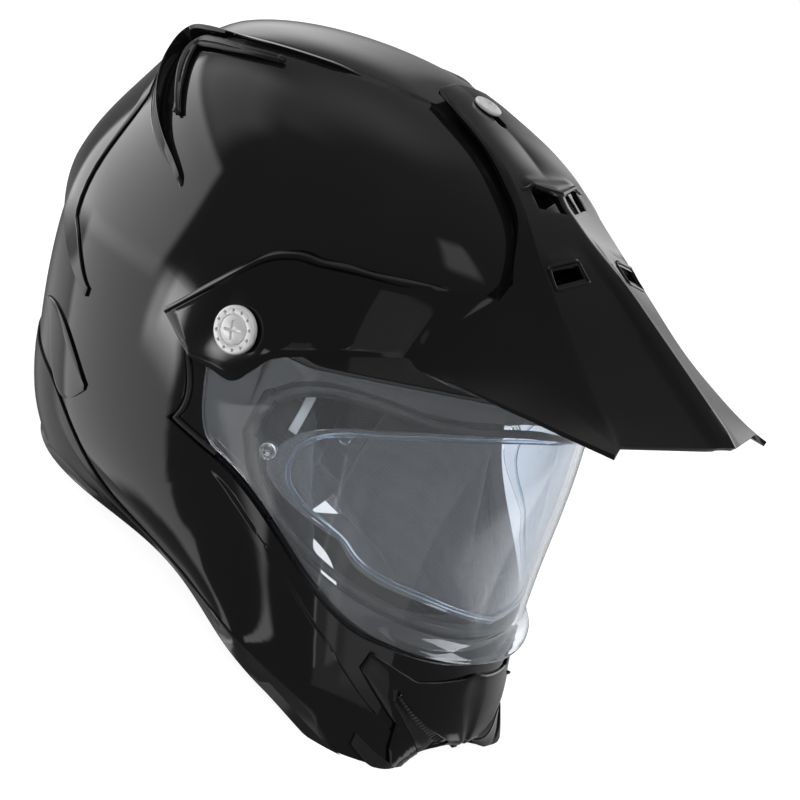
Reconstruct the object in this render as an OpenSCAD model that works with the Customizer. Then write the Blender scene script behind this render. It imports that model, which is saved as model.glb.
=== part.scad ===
// Enduro helmet: hard shell, liner, hinged visor and adjustable peak.
// Front is -Y, the rider's right side is -X, and the helmet stands on z = 0.
// Points on the helmet are found by bearing (degrees from the front, positive to the
// rider's right), climb (0 at the neck rim, 1 at the crown) and depth under the outer skin.

/* [Shell] */
// Greatest width of the outer skin
shell_w = 248; // [236:1:258]
// Height of the outer skin above its rim
shell_h = 242; // [232:1:252]
// Reach of the chin ahead of the origin
chin_reach = 156; // [150:1:162]
// Reach of the back of the shell behind the origin
rear_reach = 177; // [168:1:184]
// Wall of the outer shell
shell_t = 3.5; // [2.8:0.1:4.2]
// How much higher the rim stands at the ears than at the chin
rim_lift = 12; // [8:1:16]
// Height of the edge trim under the rim
trim_drop = 4; // [3:0.5:6]

/* [Eye port and visor] */
// Bearing of the eye port's corners
port_bearing = 78; // [74:1:80]
// Depth of the visor seat at the nose
seat_front = 3; // [2.5:0.5:4]
// Depth of the visor seat at the ears
seat_side = 4.5; // [4.2:0.1:5.5]
// How far the visor's inner face stands off its seat at the nose
visor_off = 3; // [2.5:0.5:3.5]
// Thickness of the visor
visor_t = 2.2; // [1.8:0.1:2.4]
// Thickness of the anti-fog lens
lens_t = 1.2; // [0.8:0.1:1.5]
// Radius of the lens pins
lens_pin_r = 2.5; // [2:0.1:3]

/* [Pivots] */
// Pivot axis ahead of (-) or behind (+) the origin
pivot_y = -4; // [-6:0.5:-2]
// Height of the pivot axis
pivot_z = 141; // [139:0.5:143]
// Radius of the pivot bosses
boss_r = 7.5; // [6.5:0.1:8.5]
// Running clearance of the visor and peak on the bosses
running_gap = 0.06; // [0.03:0.01:0.1]
// Radius of the side knobs
knob_r = 11; // [10:0.5:12]
// Height of the side knobs
knob_h = 4.5; // [3.8:0.1:6]
// Radius of the stud under a side knob
stud_r = 3; // [2.5:0.1:3.5]

/* [Peak] */
// Reach of the peak's tip ahead of the origin
peak_reach = 177; // [170:1:184]
// Height of the peak's tip
peak_tip_z = 212; // [208:1:218]
// Width of the peak across its front corners
peak_w = 133; // [125:1:141]
// Wall of the peak
peak_t = 2.6; // [2.2:0.1:3]
// Stand-off of the peak's arms from the outer skin
arm_gap = 2.4; // [2.3:0.1:2.7]
// Place of the crown screw
screw_y = 21; // [19:1:23]
// Radius of the crown screw's head
screw_head_r = 7; // [6:0.5:8]
// Radius of the crown screw's shank
screw_r = 2.5; // [2:0.1:3]

/* [Liner] */
// Depth of the foam liner's inner face
foam_depth = 36; // [33:1:40]
// Thickness of the foam in the chin bar
chin_foam_t = 13; // [10:1:15]
// Thickness of the crown pad
crown_pad_t = 8; // [6:1:12]
// Thickness of the cheek pads in the middle
cheek_pad_t = 27; // [22:1:30]
// Width of the chin strap's webbing
strap_w = 18; // [15:1:20]
// Thickness of the chin strap's webbing
strap_t = 2; // [1.5:0.1:2.5]

/* [Clearances] */
// Gap between seated pieces
seat_gap = 0.5; // [0.45:0.05:0.6]
// Gap between panels and the skin that they lie on
panel_gap = 0.8; // [0.7:0.1:0.9]
// Gap round the foam and pads
foam_gap = 1.1; // [1:0.1:1.3]

/* [Hidden] */
half_w = shell_w / 2;
half_l = (chin_reach + rear_reach) / 2;
mid_y = (rear_reach - chin_reach) / 2;

// Stations of the skin from rim to crown, as shares of the driving sizes: height, half width,
// front reach, rear reach, place of the widest point, squareness, egg shape, corner fullness
stations = [
  [0.000, 0.700, 0.998, 0.638, -0.10,  0.19,  0.03, -0.08],
  [0.033, 0.815, 0.990, 0.740, -0.05,  0.09,  0.00, -0.05],
  [0.165, 0.919, 0.897, 0.853, -0.01,  0.04, -0.02, -0.03],
  [0.331, 0.976, 0.808, 0.960,  0.01,  0.02, -0.05, -0.02],
  [0.496, 1.000, 0.763, 1.017,  0.03, -0.01, -0.09, -0.01],
  [0.657, 1.000, 0.710, 0.972,  0.05, -0.05, -0.12, -0.03],
  [0.802, 0.944, 0.596, 0.915,  0.08, -0.05, -0.12,  0.00],
  [0.909, 0.782, 0.436, 0.734,  0.09, -0.03, -0.12,  0.02],
  [0.975, 0.508, 0.218, 0.486,  0.10,  0.00, -0.09,  0.03],
  [1.000, 0.185, 0.010, 0.226,  0.10,  0.01, -0.07,  0.05]
];
last_station = len(stations) - 1;

// Blends and vectors
function smooth(x) = let (t = min(1, max(0, x))) t * t * (3 - 2 * t);
function mix(a, b, t) = a + (b - a) * t;
function unit(v) = norm(v) > 0 ? v / norm(v) : [0, 0, 1];

// Past the crown the stations carry on down the far side, which keeps the crown round
function far_side(s) = [s[0], -s[1], -s[3] * rear_reach / chin_reach,
                        -s[2] * chin_reach / rear_reach, s[4], s[5], s[6], s[7]];
function station(i) =
  i < 0 ? 2 * stations[0] - stations[1]
  : i <= last_station ? stations[i]
  : far_side(stations[2 * last_station + 1 - i]);
function cubic(p, q, r, s, f) =
  (p * pow(1 - f, 3) + q * (3 * pow(f, 3) - 6 * f * f + 4)
   + r * (-3 * pow(f, 3) + 3 * f * f + 3 * f + 1) + s * pow(f, 3)) / 6;
function profile(climb) =
  let (t = (last_station + 0.5) * min(1, max(0, climb)), i = floor(t))
  cubic(station(i - 1), station(i), station(i + 1), station(i + 2), t - i);

// A point of the helmet by bearing, climb and depth
function skin(bearing, climb, depth = 0) =
  let (p = profile(climb), z = p[0] * shell_h,
       front = -p[2] * chin_reach, rear = p[3] * rear_reach,
       a = (rear - front) / 2, m = (rear + front) / 2, b = (m - p[4] * rear_reach) / 2,
       x = -p[1] * half_w * (sin(bearing) + p[5] * sin(3 * bearing) + p[6] * sin(2 * bearing))
           / (1 - p[5]),
       y = m - a * cos(bearing) + b * (cos(2 * bearing) - 1)
           + a * p[7] * (cos(3 * bearing) - cos(bearing)),
       lift = rim_lift * exp(-z / 30) * pow(sin(bearing), 2))
  [x * (1 - depth / half_w), mid_y + (y - mid_y) * (1 - depth / half_l),
   trim_drop + (z + lift) * (1 - depth / shell_h)];
function outward(bearing, climb) =
  unit(cross(skin(bearing, climb + 0.004) - skin(bearing, climb - 0.004),
             skin(bearing + 0.5, climb) - skin(bearing - 0.5, climb)));

// Closed solid between two grids of points. keep(i, j) says which cells are filled, a ring
// closes on itself along its columns, and a crowned one ends in a single point
module sheet(outer, inner, keep = function(i, j) true, ring = false, crowned = false) {
  rows = len(outer);
  cols = len(outer[0]);
  cells = ring ? cols : cols - 1;
  side = rows * cols;
  at = function(i, j) crowned && i == rows - 1 ? i * cols : i * cols + j % cols;
  filled = function(i, j)
    i < 0 || i > rows - 2 || (!ring && (j < 0 || j >= cells)) ? false
    : keep(i, (j + cells) % cells);
  tri = function(a, b, c) a == b || b == c || a == c ? [] : [[a, b, c]];
  quad = function(a, b, c, d) concat(tri(a, b, c), tri(a, c, d));
  points = concat([for (row = outer) each row], [for (row = inner) each row]);
  faces = [for (i = [0 : rows - 2], j = [0 : cells - 1]) if (filled(i, j))
    let (a = at(i, j), b = at(i, j + 1), c = at(i + 1, j + 1), d = at(i + 1, j))
    each concat(
      quad(a, b, c, d),
      quad(side + a, side + d, side + c, side + b),
      filled(i - 1, j) ? [] : quad(b, a, side + a, side + b),
      filled(i + 1, j) || (crowned && i == rows - 2) ? [] : quad(d, c, side + c, side + d),
      filled(i, j + 1) ? [] : quad(c, b, side + b, side + c),
      filled(i, j - 1) ? [] : quad(a, d, side + d, side + a))];
  polyhedron(points = points, faces = faces, convexity = 6);
}

// Patch of the skin: columns are bearings, low and high give its edges by bearing, and near and
// far give its two depths by bearing, climb and place across the patch
module patch(bearings, rows, low, high, near, far, flat = false) {
  at = function(i, b) mix(low(b), high(b), i / rows);
  point = function(b, c, depth) flat ? boss_flat(skin(b, c, depth), depth) : skin(b, c, depth);
  layer = function(depth) [for (i = [0 : rows]) [for (b = bearings)
    point(b, at(i, b), depth(b, at(i, b), i / rows))]];
  sheet(layer(near), layer(far));
}
function spread(a, b, n) = [for (k = [0 : n]) mix(a, b, k / n)];
function mirrored(list) =
  concat([for (k = [len(list) - 1 : -1 : 1]) -list[k]], list);

// Panels are flat round the pivots, at the distance that they have just behind the axis
pivot_climb = 0.468;
pivot_bearing = 90.5;
flat_r = 11;
flat_fade = 24;
function pivot_x(depth) = -skin(pivot_bearing, pivot_climb, depth)[0];
function boss_flat(p, depth) =
  let (away = norm([p[1] - pivot_y, p[2] - pivot_z]), w = smooth((flat_r + flat_fade - away) / flat_fade))
  [sign(p[0]) * max(abs(p[0]), mix(abs(p[0]), pivot_x(depth), w)), p[1], p[2]];

// Eye port: its middle line and half height by bearing, in climb
port_end_h = 0.03;
function port_mid(b) = 0.37 + 0.02 * pow(min(1, abs(b) / port_bearing), 2);
function port_half(b) =
  abs(b) < port_bearing
  ? max(port_end_h, 0.125 * pow(1 - pow(abs(b) / port_bearing, 4), 0.45))
  : mix(port_end_h, 0.06, smooth((abs(b) - port_bearing) / 20));
function port_low(b) = port_mid(b) - port_half(b);
function port_high(b) = port_mid(b) + port_half(b);

// Visor seat: the ledge under the visor, the seat's rear end and its depth
seat_end = 95;
seat_step = 0.8;
seat_rise = 0.008;
function seat_line(b) = 0.215 + 0.09 * smooth((abs(b) - 33) / 47);
function seat_depth(b) = mix(seat_front, seat_side, smooth(abs(b) / 80));
function seat_top(b) = 0.598 - 0.11 * smooth((abs(b) - 82) / 13);
function seat_full(b) = seat_top(b) - 0.02 - 0.03 * smooth((86 - abs(b)) / 6);
function seat_fade(b, climb) = smooth((seat_top(b) - climb) / (seat_top(b) - seat_full(b)));
function seat(b, climb) = abs(b) <= seat_end ? seat_depth(b) * seat_fade(b, climb) : 0;

// Visor: its edges and inner depth by bearing
visor_end = 92;
function visor_low(b) =
  seat_line(b) + 0.012 + 0.151 * pow(max(0, abs(b) - 79) / 13, 2.8);
function visor_high(b) =
  0.53 - 0.05 * smooth(abs(b) / 72) + 0.024 * exp(-pow((abs(b) - 85.5) / 4, 2));
plate_gap = 0.3;
plate_t = 1.6;
function visor_depth(b) =
  mix(seat_front - visor_off, seat_side - plate_gap - plate_t - seat_gap - 0.65,
      smooth((abs(b) - 45) / 39));

/* Outer shell */
port_steps = 12;
shell_bearings = concat(
  [for (k = [0 : port_steps]) port_bearing * sin(90 * k / port_steps)],
  [82, 86, 90.5, seat_end], [for (k = [0 : 12]) mix(seat_end + seat_step, 180, k / 12)]);
shell_ring = [for (b = mirrored(shell_bearings)) if (b > -180) b];
dome_rows = 8;
seat_row = 6;
port_row = 7;
port_top_row = 9;
fade_row = 11;
function shell_climb(i, b) =
  i < seat_row ? seat_line(b) * i / (seat_row - 1)
  : i == seat_row ? seat_line(b) + seat_rise
  : i <= port_top_row ? mix(port_low(b), port_high(b), (i - port_row) / (port_top_row - port_row))
  : i < fade_row ? seat_full(b)
  : mix(seat_top(b), 1, (i - fade_row) / dome_rows);
module outer_shell() {
  rows = fade_row + dome_rows;
  depth = function(i, b) i < seat_row ? 0 : seat(b, shell_climb(i, b));
  layer = function(t) [for (i = [0 : rows]) [for (b = shell_ring)
    skin(b, shell_climb(i, b), depth(i, b) + t)]];
  open = function(i, j) i >= port_row && i < port_top_row
    && abs(shell_ring[j]) <= port_bearing + 0.01
    && abs(shell_ring[j + 1]) <= port_bearing + 0.01;
  color([0.03, 0.03, 0.035])
  sheet(layer(0), layer(shell_t), function(i, j) !open(i, j), ring = true, crowned = true);
}

// Edge trim: a channel that grips the rim, taller round the back of the neck
trim_t = 1.2;
trim_grip = 0.05;
trim_back = 0.19;
trim_inner = 3;
function trim_top(b) =
  max(0.002, mix(trim_grip, trim_back, smooth((abs(b) - 92) / 40)) * smooth((abs(b) - 31) / 5));
trim_rows = 3;
// The trim's foot is level at the chin and at the nape, where the helmet stands on it
rest_end = 12;
function foot_lift(b) = smooth((min(abs(b), 180 - abs(b)) - rest_end) / 16);
function trim_climb(b, k) = let (top = trim_top(b))
  k == 0 ? 0 : k == trim_rows ? top : min(seat_line(b) * k / (seat_row - 1), top * (0.7 + 0.1 * k));
module shell_edge_trim() {
  out_gap = panel_gap + trim_t;
  over = function(b, climb, gap) skin(b, climb) + gap * outward(b, climb);
  at_z = function(p, z) [p[0], p[1], z];
  section = function(b)
    let (rim = skin(b, 0), inner = skin(b, 0, shell_t), foot = (rim[2] - trim_drop) * foot_lift(b),
         n = outward(b, 0), level = unit([n[0], n[1], 0]), near = over(b, 0, panel_gap),
         far = inner - panel_gap * level, back = inner - out_gap * level,
         floor_z = min(rim[2], near[2]) - seat_gap,
         rise = skin(b, seat_line(b) / (seat_row - 1), shell_t) - inner,
         share = min(1, trim_inner / rise[2]), inner_top = inner[2] + share * rise[2],
         lean = min(0, share * rise * level) * level)
    concat(
      [for (k = [trim_rows : -1 : 0]) over(b, trim_climb(b, k), out_gap - (k == trim_rows ? 0.4 : 0))],
      [at_z(over(b, 0, out_gap), foot), at_z(back, foot), at_z(back + lean, inner_top),
       at_z(far + lean, inner_top), at_z(far, floor_z), at_z(near, floor_z)],
      [for (k = [0 : trim_rows]) over(b, trim_climb(b, k), panel_gap)]);
  loops = [for (b = shell_ring) section(b)];
  n = len(loops);
  m = len(loops[0]);
  color([0.02, 0.02, 0.022])
  polyhedron(points = [for (loop = loops) each loop],
    faces = [for (i = [0 : n - 1], j = [0 : m - 1])
      let (a = i * m + j, b = i * m + (j + 1) % m,
           c = ((i + 1) % n) * m + (j + 1) % m, d = ((i + 1) % n) * m + j)
      each [[a, b, c], [a, c, d]]], convexity = 6);
}

// Rubber seal round the eye port
gasket_d = 5;
module eyeport_gasket() {
  half = [for (k = [-port_steps : port_steps]) port_bearing * sin(90 * k / port_steps)];
  edge = concat([for (b = half) [b, -1]], [for (k = [len(half) - 1 : -1 : 0]) [half[k], 1]]);
  at = function(e, share, depth) let (b = e[0] * (1 - share / 3), h = port_half(e[0]) * (1 - share))
    skin(b, port_mid(e[0]) + e[1] * h,
         depth == 0 ? visor_depth(b) + 2 * seat_gap : seat_depth(b) + depth);
  loop = function(share, depth) [for (e = edge) at(e, share, depth)];
  color([0.05, 0.05, 0.055])
  sheet([loop(0.05, 0), loop(0.12, 0)], [loop(0.05, gasket_d), loop(0.12, gasket_d)],
        ring = true);
}

// Foam liner under the dome, open below the brow
liner_end = 112;
liner_brow = 0.6;
function liner_low(b) = mix(port_high(b) + 0.012, 0.125, smooth((abs(b) - liner_end + 6) / 12));
function liner_outer(b, climb) =
  shell_t + foam_gap
  + seat_depth(b) * (1 - smooth((abs(b) - seat_end - 2) / 14)) * (1 - smooth((climb - 0.68) / 0.2));
liner_ring = [for (k = [-19 : 20]) k * 9];
low_rows = 4;
crown_rows = 5;
module eps_liner() {
  layer = function(depth) [for (i = [0 : low_rows + crown_rows]) [for (b = liner_ring)
    let (climb = i < low_rows ? mix(liner_low(b), liner_brow, i / low_rows)
                              : mix(liner_brow, 1, (i - low_rows) / crown_rows))
    skin(b, climb, depth(b, climb))]];
  color([0.12, 0.12, 0.13])
  sheet(layer(function(b, climb) liner_outer(b, climb)), layer(function(b, climb) foam_depth),
        ring = true, crowned = true);
}

// Foam in the chin bar, which runs back to the ears under the cheek pads
chin_foam_end = 99;
module chin_eps() {
  color([0.12, 0.12, 0.13])
  patch(mirrored(spread(0, chin_foam_end, 13)), 4,
    function(b) 0.075, function(b) seat_line(b) - 0.015,
    function(b, climb, v) shell_t + foam_gap,
    function(b, climb, v) shell_t + foam_gap + chin_foam_t);
}

// Soft pads: thickness by place across the pad, from 0 to 1 each way, with drawn-in sides
function pillow(u, v) = pow(max(0, 1 - pow(abs(2 * u - 1), 4)), 0.5)
                      * pow(max(0, 1 - pow(abs(2 * v - 1), 4)), 0.5);
function drawn(v) = 1 - pow(2 * v - 1, 2);

module crown_pad() {
  ring = liner_ring;
  rows = crown_rows;
  face = foam_depth + foam_gap;
  climb = function(i) mix(liner_brow, 1, i / rows);
  thick = function(i, b)
    crown_pad_t * mix(0.45, 1, pow(drawn(0.5 * i / rows), 0.6)) * (0.9 + 0.1 * cos(6 * b));
  color([0.08, 0.08, 0.085])
  sheet([for (i = [0 : rows]) [for (b = ring) skin(b, climb(i), face)]],
        [for (i = [0 : rows]) [for (b = ring) skin(b, climb(i), face + thick(i, i == rows ? 0 : b))]],
        ring = true, crowned = true);
}

cheek_start = 43;
cheek_end = 97;
module cheek_pad() {
  base = shell_t + 2 * foam_gap + chin_foam_t + 0.4;
  across = function(b) (b - cheek_start) / (cheek_end - cheek_start);
  color([0.09, 0.09, 0.095])
  patch(spread(cheek_start, cheek_end, 10), 8,
    function(b) 0.065 + 0.012 * drawn(across(b)),
    function(b) mix(0.205, 0.44, smooth((b - 52) / 26)) - 0.02 * drawn(across(b)),
    function(b, climb, v) base,
    function(b, climb, v) base + 7 + (cheek_pad_t - 7) * pillow(across(b), v));
}
module cheek_pad_right() { cheek_pad(); }
module cheek_pad_left() { mirror([1, 0, 0]) cheek_pad(); }

module neck_roll() {
  start = 114;
  across = function(b) (b - start) / (360 - 2 * start);
  base = shell_t + 2 * foam_gap;
  color([0.08, 0.08, 0.085])
  patch(spread(start, 360 - start, 16), 5,
    function(b) 0.06, function(b) 0.114,
    function(b, climb, v) base,
    function(b, climb, v) base + 8 + 14 * pillow(across(b), v));
}

// Chin strap: webbing that lies on the shell behind each cheek pad, from its rivet down, then
// turns inward over the rim and ends in the neck opening
strap_bearing = 106.5;
strap_rest = shell_t + foam_gap + strap_t + 1;
strap_turn = skin(strap_bearing, 0.085, strap_rest + 2.5);
strap_edge = skin(strap_bearing - 1, 0.12) - skin(strap_bearing + 1, 0.12);
strap_side = unit([strap_edge[0], strap_edge[1], 0]);
strap_in = [-strap_side[1], strap_side[0], 0];
function strap_end(reach, z) =
  [strap_turn[0], strap_turn[1], 0] + reach * strap_in + [0, 0, z];
strap_path = [skin(strap_bearing, 0.2, strap_rest), skin(strap_bearing, 0.165, strap_rest),
              skin(strap_bearing, 0.13, strap_rest), skin(strap_bearing, 0.105, strap_rest + 0.6),
              strap_turn, strap_end(6, 20), strap_end(12, 14), strap_end(19, 9.5), strap_end(27, 7)];
module strap() {
  last = len(strap_path) - 1;
  run = function(k) unit(strap_path[min(last, k + 1)] - strap_path[max(0, k - 1)]);
  across = function(k) unit(strap_side - run(k) * (run(k) * strap_side));
  row = function(side, rise) [for (k = [0 : last])
    strap_path[k] + side * strap_w / 2 * across(k) + rise * cross(across(k), run(k))];
  color([0.07, 0.07, 0.075])
  sheet([row(-1, strap_t), row(1, strap_t)], [row(-1, 0), row(1, 0)]);
}
module chin_strap_right() { strap(); }
module chin_strap_left() { mirror([1, 0, 0]) strap(); }

// Rivet through the top of each strap
rivet_r = 4;
module strap_rivets() {
  p = skin(strap_bearing, 0.175, strap_rest);
  n = outward(strap_bearing, 0.175);
  color([0.7, 0.7, 0.72])
  for (side = [0, 1]) mirror([side, 0, 0])
    translate(p - (strap_t + seat_gap) * n) rotate([0, acos(n[2]), atan2(n[1], n[0])]) mirror([0, 0, 1])
      cylinder(r = rivet_r, h = 1.6, $fn = 32);
}

// Pair of D-rings at the right strap's end
ring_wire = 1.5;
ring_r = 9;
module d_ring(lift) {
  last = strap_path[len(strap_path) - 1];
  translate(last + (ring_wire + panel_gap) * strap_in + [0, 0, lift])
    rotate([0, 0, atan2(strap_side[0], -strap_side[1])])
      union() {
        rotate([0, 0, -90]) rotate_extrude(angle = 180, $fn = 36)
          translate([ring_r, 0]) circle(r = ring_wire, $fn = 12);
        rotate([90, 0, 0]) translate([0, 0, -ring_r - ring_wire])
          cylinder(r = ring_wire, h = 2 * (ring_r + ring_wire), $fn = 12);
      }
}
module d_ring_outer() { color([0.75, 0.75, 0.77]) d_ring(-0.8); }
module d_ring_inner() { color([0.75, 0.75, 0.77]) d_ring(2.6); }

// Breath deflector that stands on the chin bar inside the eye port
module breath_deflector() {
  face = shell_t + chin_foam_t + 2 * foam_gap;
  bearings = mirrored([0, 7, 14, 21, 25, 32]);
  rows = 5;
  climb = function(i, b) mix(0.17, 0.262 - 0.012 * pow(b / 32, 2), i / rows);
  layer = function(depth) [for (i = [0 : rows]) [for (b = bearings) skin(b, climb(i, b), depth)]];
  slot = function(i, j) i == 2 && (j == 1 || j == 3 || j == 6 || j == 8);
  color([0.1, 0.1, 0.105])
  sheet(layer(face), layer(face + 1.6), function(i, j) !slot(i, j));
}

// Side plate that carries a pivot boss and closes the seat behind the visor
plate_start = 79;
module side_plate() {
  color([0.04, 0.04, 0.045])
  patch(spread(plate_start, seat_end - 0.8, 6), 8,
    function(b) seat_line(b) + 0.014 + 0.02 * smooth((84 - b) / 5), function(b) seat_full(b) - 0.008,
    function(b, climb, v) seat(b, climb) - plate_gap - plate_t,
    function(b, climb, v) seat(b, climb) - plate_gap, flat = true);
}
module side_plate_right() { side_plate(); }
module side_plate_left() { mirror([1, 0, 0]) side_plate(); }

// Pivot boss: it stands on the side plate and carries the visor's ear and the peak's arm
arm_outer = arm_gap + peak_t;
boss_foot = pivot_x(seat_side - plate_gap - plate_t) + 0.3;
boss_top = pivot_x(-arm_outer) + 0.2;
module along_x(x) { translate([-x, pivot_y, pivot_z]) rotate([0, -90, 0]) children(); }
module pivot_boss() {
  color([0.1, 0.1, 0.11])
  along_x(boss_foot)
    difference() {
      cylinder(r = boss_r, h = boss_top - boss_foot, $fn = 64);
      translate([0, 0, 1]) cylinder(r = stud_r + running_gap, h = boss_top, $fn = 48);
    }
}
module pivot_boss_right() { pivot_boss(); }
module pivot_boss_left() { mirror([1, 0, 0]) pivot_boss(); }
module pivot_bore() {
  for (side = [0, 1]) mirror([side, 0, 0])
    along_x(boss_foot - 8) cylinder(r = boss_r + running_gap, h = 30, $fn = 64);
}

// Lens pins stand square to the visor
pin_bearing = 71;
pin_climb = 0.36;
module at_pin(depth) {
  p = skin(pin_bearing, pin_climb, depth);
  n = outward(pin_bearing, pin_climb);
  translate(p) rotate([0, acos(n[2]), atan2(n[1], n[0])]) children();
}
pin_depth = visor_depth(pin_bearing);
module lens_pins() {
  color([0.85, 0.88, 0.92, 0.6])
  for (side = [0, 1]) mirror([side, 0, 0]) at_pin(pin_depth) {
    translate([0, 0, -2.6]) cylinder(r = lens_pin_r, h = 3 + visor_t, $fn = 32);
    translate([0, 0, visor_t + seat_gap]) cylinder(r = lens_pin_r + 0.9, h = 0.8, $fn = 32);
    translate([0, 0, -3.4]) cylinder(r = lens_pin_r + 0.9, h = 1, $fn = 32);
  }
}

// Visor with its lip, ears and bores
visor_cols = mirrored([0, 8, 16, 24, 32, 40, 48, 56, 63, 69, 74, 78, 81.5, 84.5, 87.5, 91, visor_end]);
lip_reach = 3;
module visor() {
  lip = function(b, v) lip_reach * smooth(1 - v / 0.09) * smooth((40 - abs(b)) / 16);
  color([0.8, 0.86, 0.92, 0.35])
  difference() {
    patch(visor_cols, 10, function(b) visor_low(b), function(b) visor_high(b),
      function(b, climb, v) visor_depth(b) - visor_t - lip(b, v),
      function(b, climb, v) visor_depth(b), flat = true);
    pivot_bore();
    for (side = [0, 1]) mirror([side, 0, 0])
      at_pin(pin_depth) translate([0, 0, -6])
        cylinder(r = lens_pin_r + running_gap, h = 14, $fn = 32);
  }
}

// Anti-fog lens and the soft bead that holds it off the visor
lens_end = 68;
seal_t = 0.8;
seal_gap = 0.6;
seal_w = 0.11;
function lens_half(b) = 0.07 * pow(max(0.02, 1 - pow(abs(b) / lens_end, 4)), 0.45);
function lens_mid(b) = 0.355 + 0.012 * pow(b / lens_end, 2);
lens_cols = [for (k = [-12 : 12]) lens_end * sin(90 * k / 12)];
module anti_fog_lens() {
  color([0.75, 0.85, 0.95, 0.35])
  patch(lens_cols, 4,
    function(b) lens_mid(b) - lens_half(b), function(b) lens_mid(b) + lens_half(b),
    function(b, climb, v) visor_depth(b) + seal_t + 2 * seal_gap,
    function(b, climb, v) visor_depth(b) + seal_t + 2 * seal_gap + lens_t);
}
module lens_seal() {
  edge = concat([for (b = lens_cols) [b, -1]],
                [for (k = [len(lens_cols) - 1 : -1 : 0]) [lens_cols[k], 1]]);
  loop = function(share, depth) [for (e = edge)
    let (b = e[0] * (1 - share / 3))
    skin(b, lens_mid(e[0]) + e[1] * lens_half(e[0]) * (1 - share), visor_depth(b) + depth)];
  color([0.6, 0.7, 0.8, 0.6])
  sheet([loop(0.03, seal_gap), loop(0.03 + seal_w, seal_gap)],
        [loop(0.03, seal_gap + seal_t), loop(0.03 + seal_w, seal_gap + seal_t)], ring = true);
}

// Peak: rails from the front edge back, then down the arms. Each rail is [x, y, z] on the
// rider's right, and the arm's rails are bearing and climb on the skin
wide = peak_w / 133;
top_z = trim_drop + shell_h;
drawn_top = 246;
function reach(y) = y < -60 ? -60 + (y + 60) * (peak_reach - 60) / 117 : y;
function rise(y, z) = let (w = min(1, max(0, (-60 - y) / 117)))
  z + mix(top_z - drawn_top, peak_tip_z - 212, w);
function rail(x, y, z) = [x * (y < -100 ? wide : mix(1, wide, max(0, (-60 - y) / 40))),
                          reach(y), rise(y, z)];
arm_flare = 5.8;
function on_arm(bearing, climb) =
  let (depth = -arm_outer - arm_flare * smooth((82 - bearing) / 16))
  boss_flat(skin(bearing, climb, depth), depth);
function strut(x, y, above) = [x, y, top_z + above];
ridge = [rail(0, -177, 212), rail(0, -150, 218.5), rail(0, -118, 226), rail(0, -86, 233.5),
         rail(0, -60, 239), strut(0, -42, -3), strut(0, -22, 1), strut(0, -4, 4.2),
         strut(0, 10, 5.6), strut(0, 21, 6.2), strut(0, 32, 6.2), strut(0, 42, 5.4)];
strut_crease = [[33, 0.796], [38, 0.854], [50, 0.902], [69, 0.932], [89, 0.944], [109, 0.946],
                [131, 0.942]];
strut_edge = [[37, 0.786], [42, 0.846], [52, 0.894], [69, 0.924], [85, 0.936], [103, 0.942],
              [124, 0.942]];
crease = concat([rail(-66.5, -158, 201.6), rail(-61, -140, 204.5), rail(-53, -112, 211.5),
          rail(-46, -84, 222), rail(-40, -60, 231.5)],
                [for (p = strut_crease) skin(p[0], p[1], -arm_outer - 1.2)]);
bay = concat([rail(-70, -159.5, 200.8), rail(-66, -140.5, 201.5), rail(-62, -113, 204.5),
       rail(-58, -86, 209.5), rail(-52, -65, 216.5)],
             [for (p = strut_edge) skin(p[0], p[1], -arm_outer)]);
arm_high = [[55, 0.650], [65, 0.628], [73, 0.614], [79, 0.601], [84, 0.588], [89, 0.548],
            [95, 0.478], [101, 0.408]];
arm_low = [[57, 0.530], [66, 0.500], [72, 0.479], [77, 0.458], [80, 0.428], [83, 0.402],
           [88, 0.395], [93, 0.388]];
arm_top = concat([rail(-71.5, -160, 200.4), rail(-69.5, -140, 199), rail(-68, -114, 199.5),
           rail(-66, -88, 202.5), rail(-61, -68, 209)],
                 [for (p = arm_high) on_arm(p[0], p[1])]);
lower = concat([rail(-75.5, -161.5, 199.4), rail(-80.5, -139, 193), rail(-86, -115, 186.5),
         rail(-90.5, -90, 178.5), rail(-92, -70, 171.5)],
               [for (p = arm_low) on_arm(p[0], p[1])]);
bay_row = 4;
strut_end = 11;
arm_start = 5;
arm_end = 12;

// Point on a rail at a fractional station, through the rail's own points
function along(pts, t) =
  let (n = len(pts) - 1, i = min(n - 1, max(0, floor(t))), f = min(1, t - i),
       p0 = i > 0 ? pts[i - 1] : 2 * pts[0] - pts[1], p1 = pts[i], p2 = pts[i + 1],
       p3 = i < n - 1 ? pts[i + 2] : 2 * pts[n] - pts[n - 1])
  p1 + 0.5 * f * (p2 - p0 + f * (2 * p0 - 5 * p1 + 4 * p2 - p3
                                 + f * (3 * (p1 - p2) + p3 - p0)));
// Half a rib, from the ridge out to the lower edge: shares between neighbouring rails
rib_places = [[0, 0], [0, 0.28], [0, 0.52], [0, 0.84], [0, 1], [1, 1], [2, 1], [3, 0.25], [3, 0.5],
              [3, 0.75], [3, 1]];
bay_col = 5;
function root_bulge(t, f) = 4 * f * (1 - f) * smooth(t - 3) * [-2, -0.5, 1];
function rib(t) =
  let (m = along(ridge, min(t, strut_end)), k = along(crease, min(t, strut_end)),
       s = along(bay, min(t, strut_end)), u = along(arm_top, t), l = along(lower, t),
       rails = [m, k, s, u, l])
  [for (p = rib_places) let (q = mix(rails[p[0]], rails[p[0] + 1], p[1]))
    p[0] == 3 && t >= arm_start
    ? let (w = mix(along(arm_high, t - arm_start), along(arm_low, t - arm_start), p[1]))
      on_arm(w[0], w[1])
    : p[0] == 3 ? q + root_bulge(t, p[1])
    : p[0] == 0 ? q + [0, 0, 0.6 * 4 * p[1] * (1 - p[1]) * smooth((t - 4) / 3)]
    : q];
function flip(p) = [-p[0], p[1], p[2]];
slot_t = 3.2;
vent_t = 5;
slot_end_t = 3.45;
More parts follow.
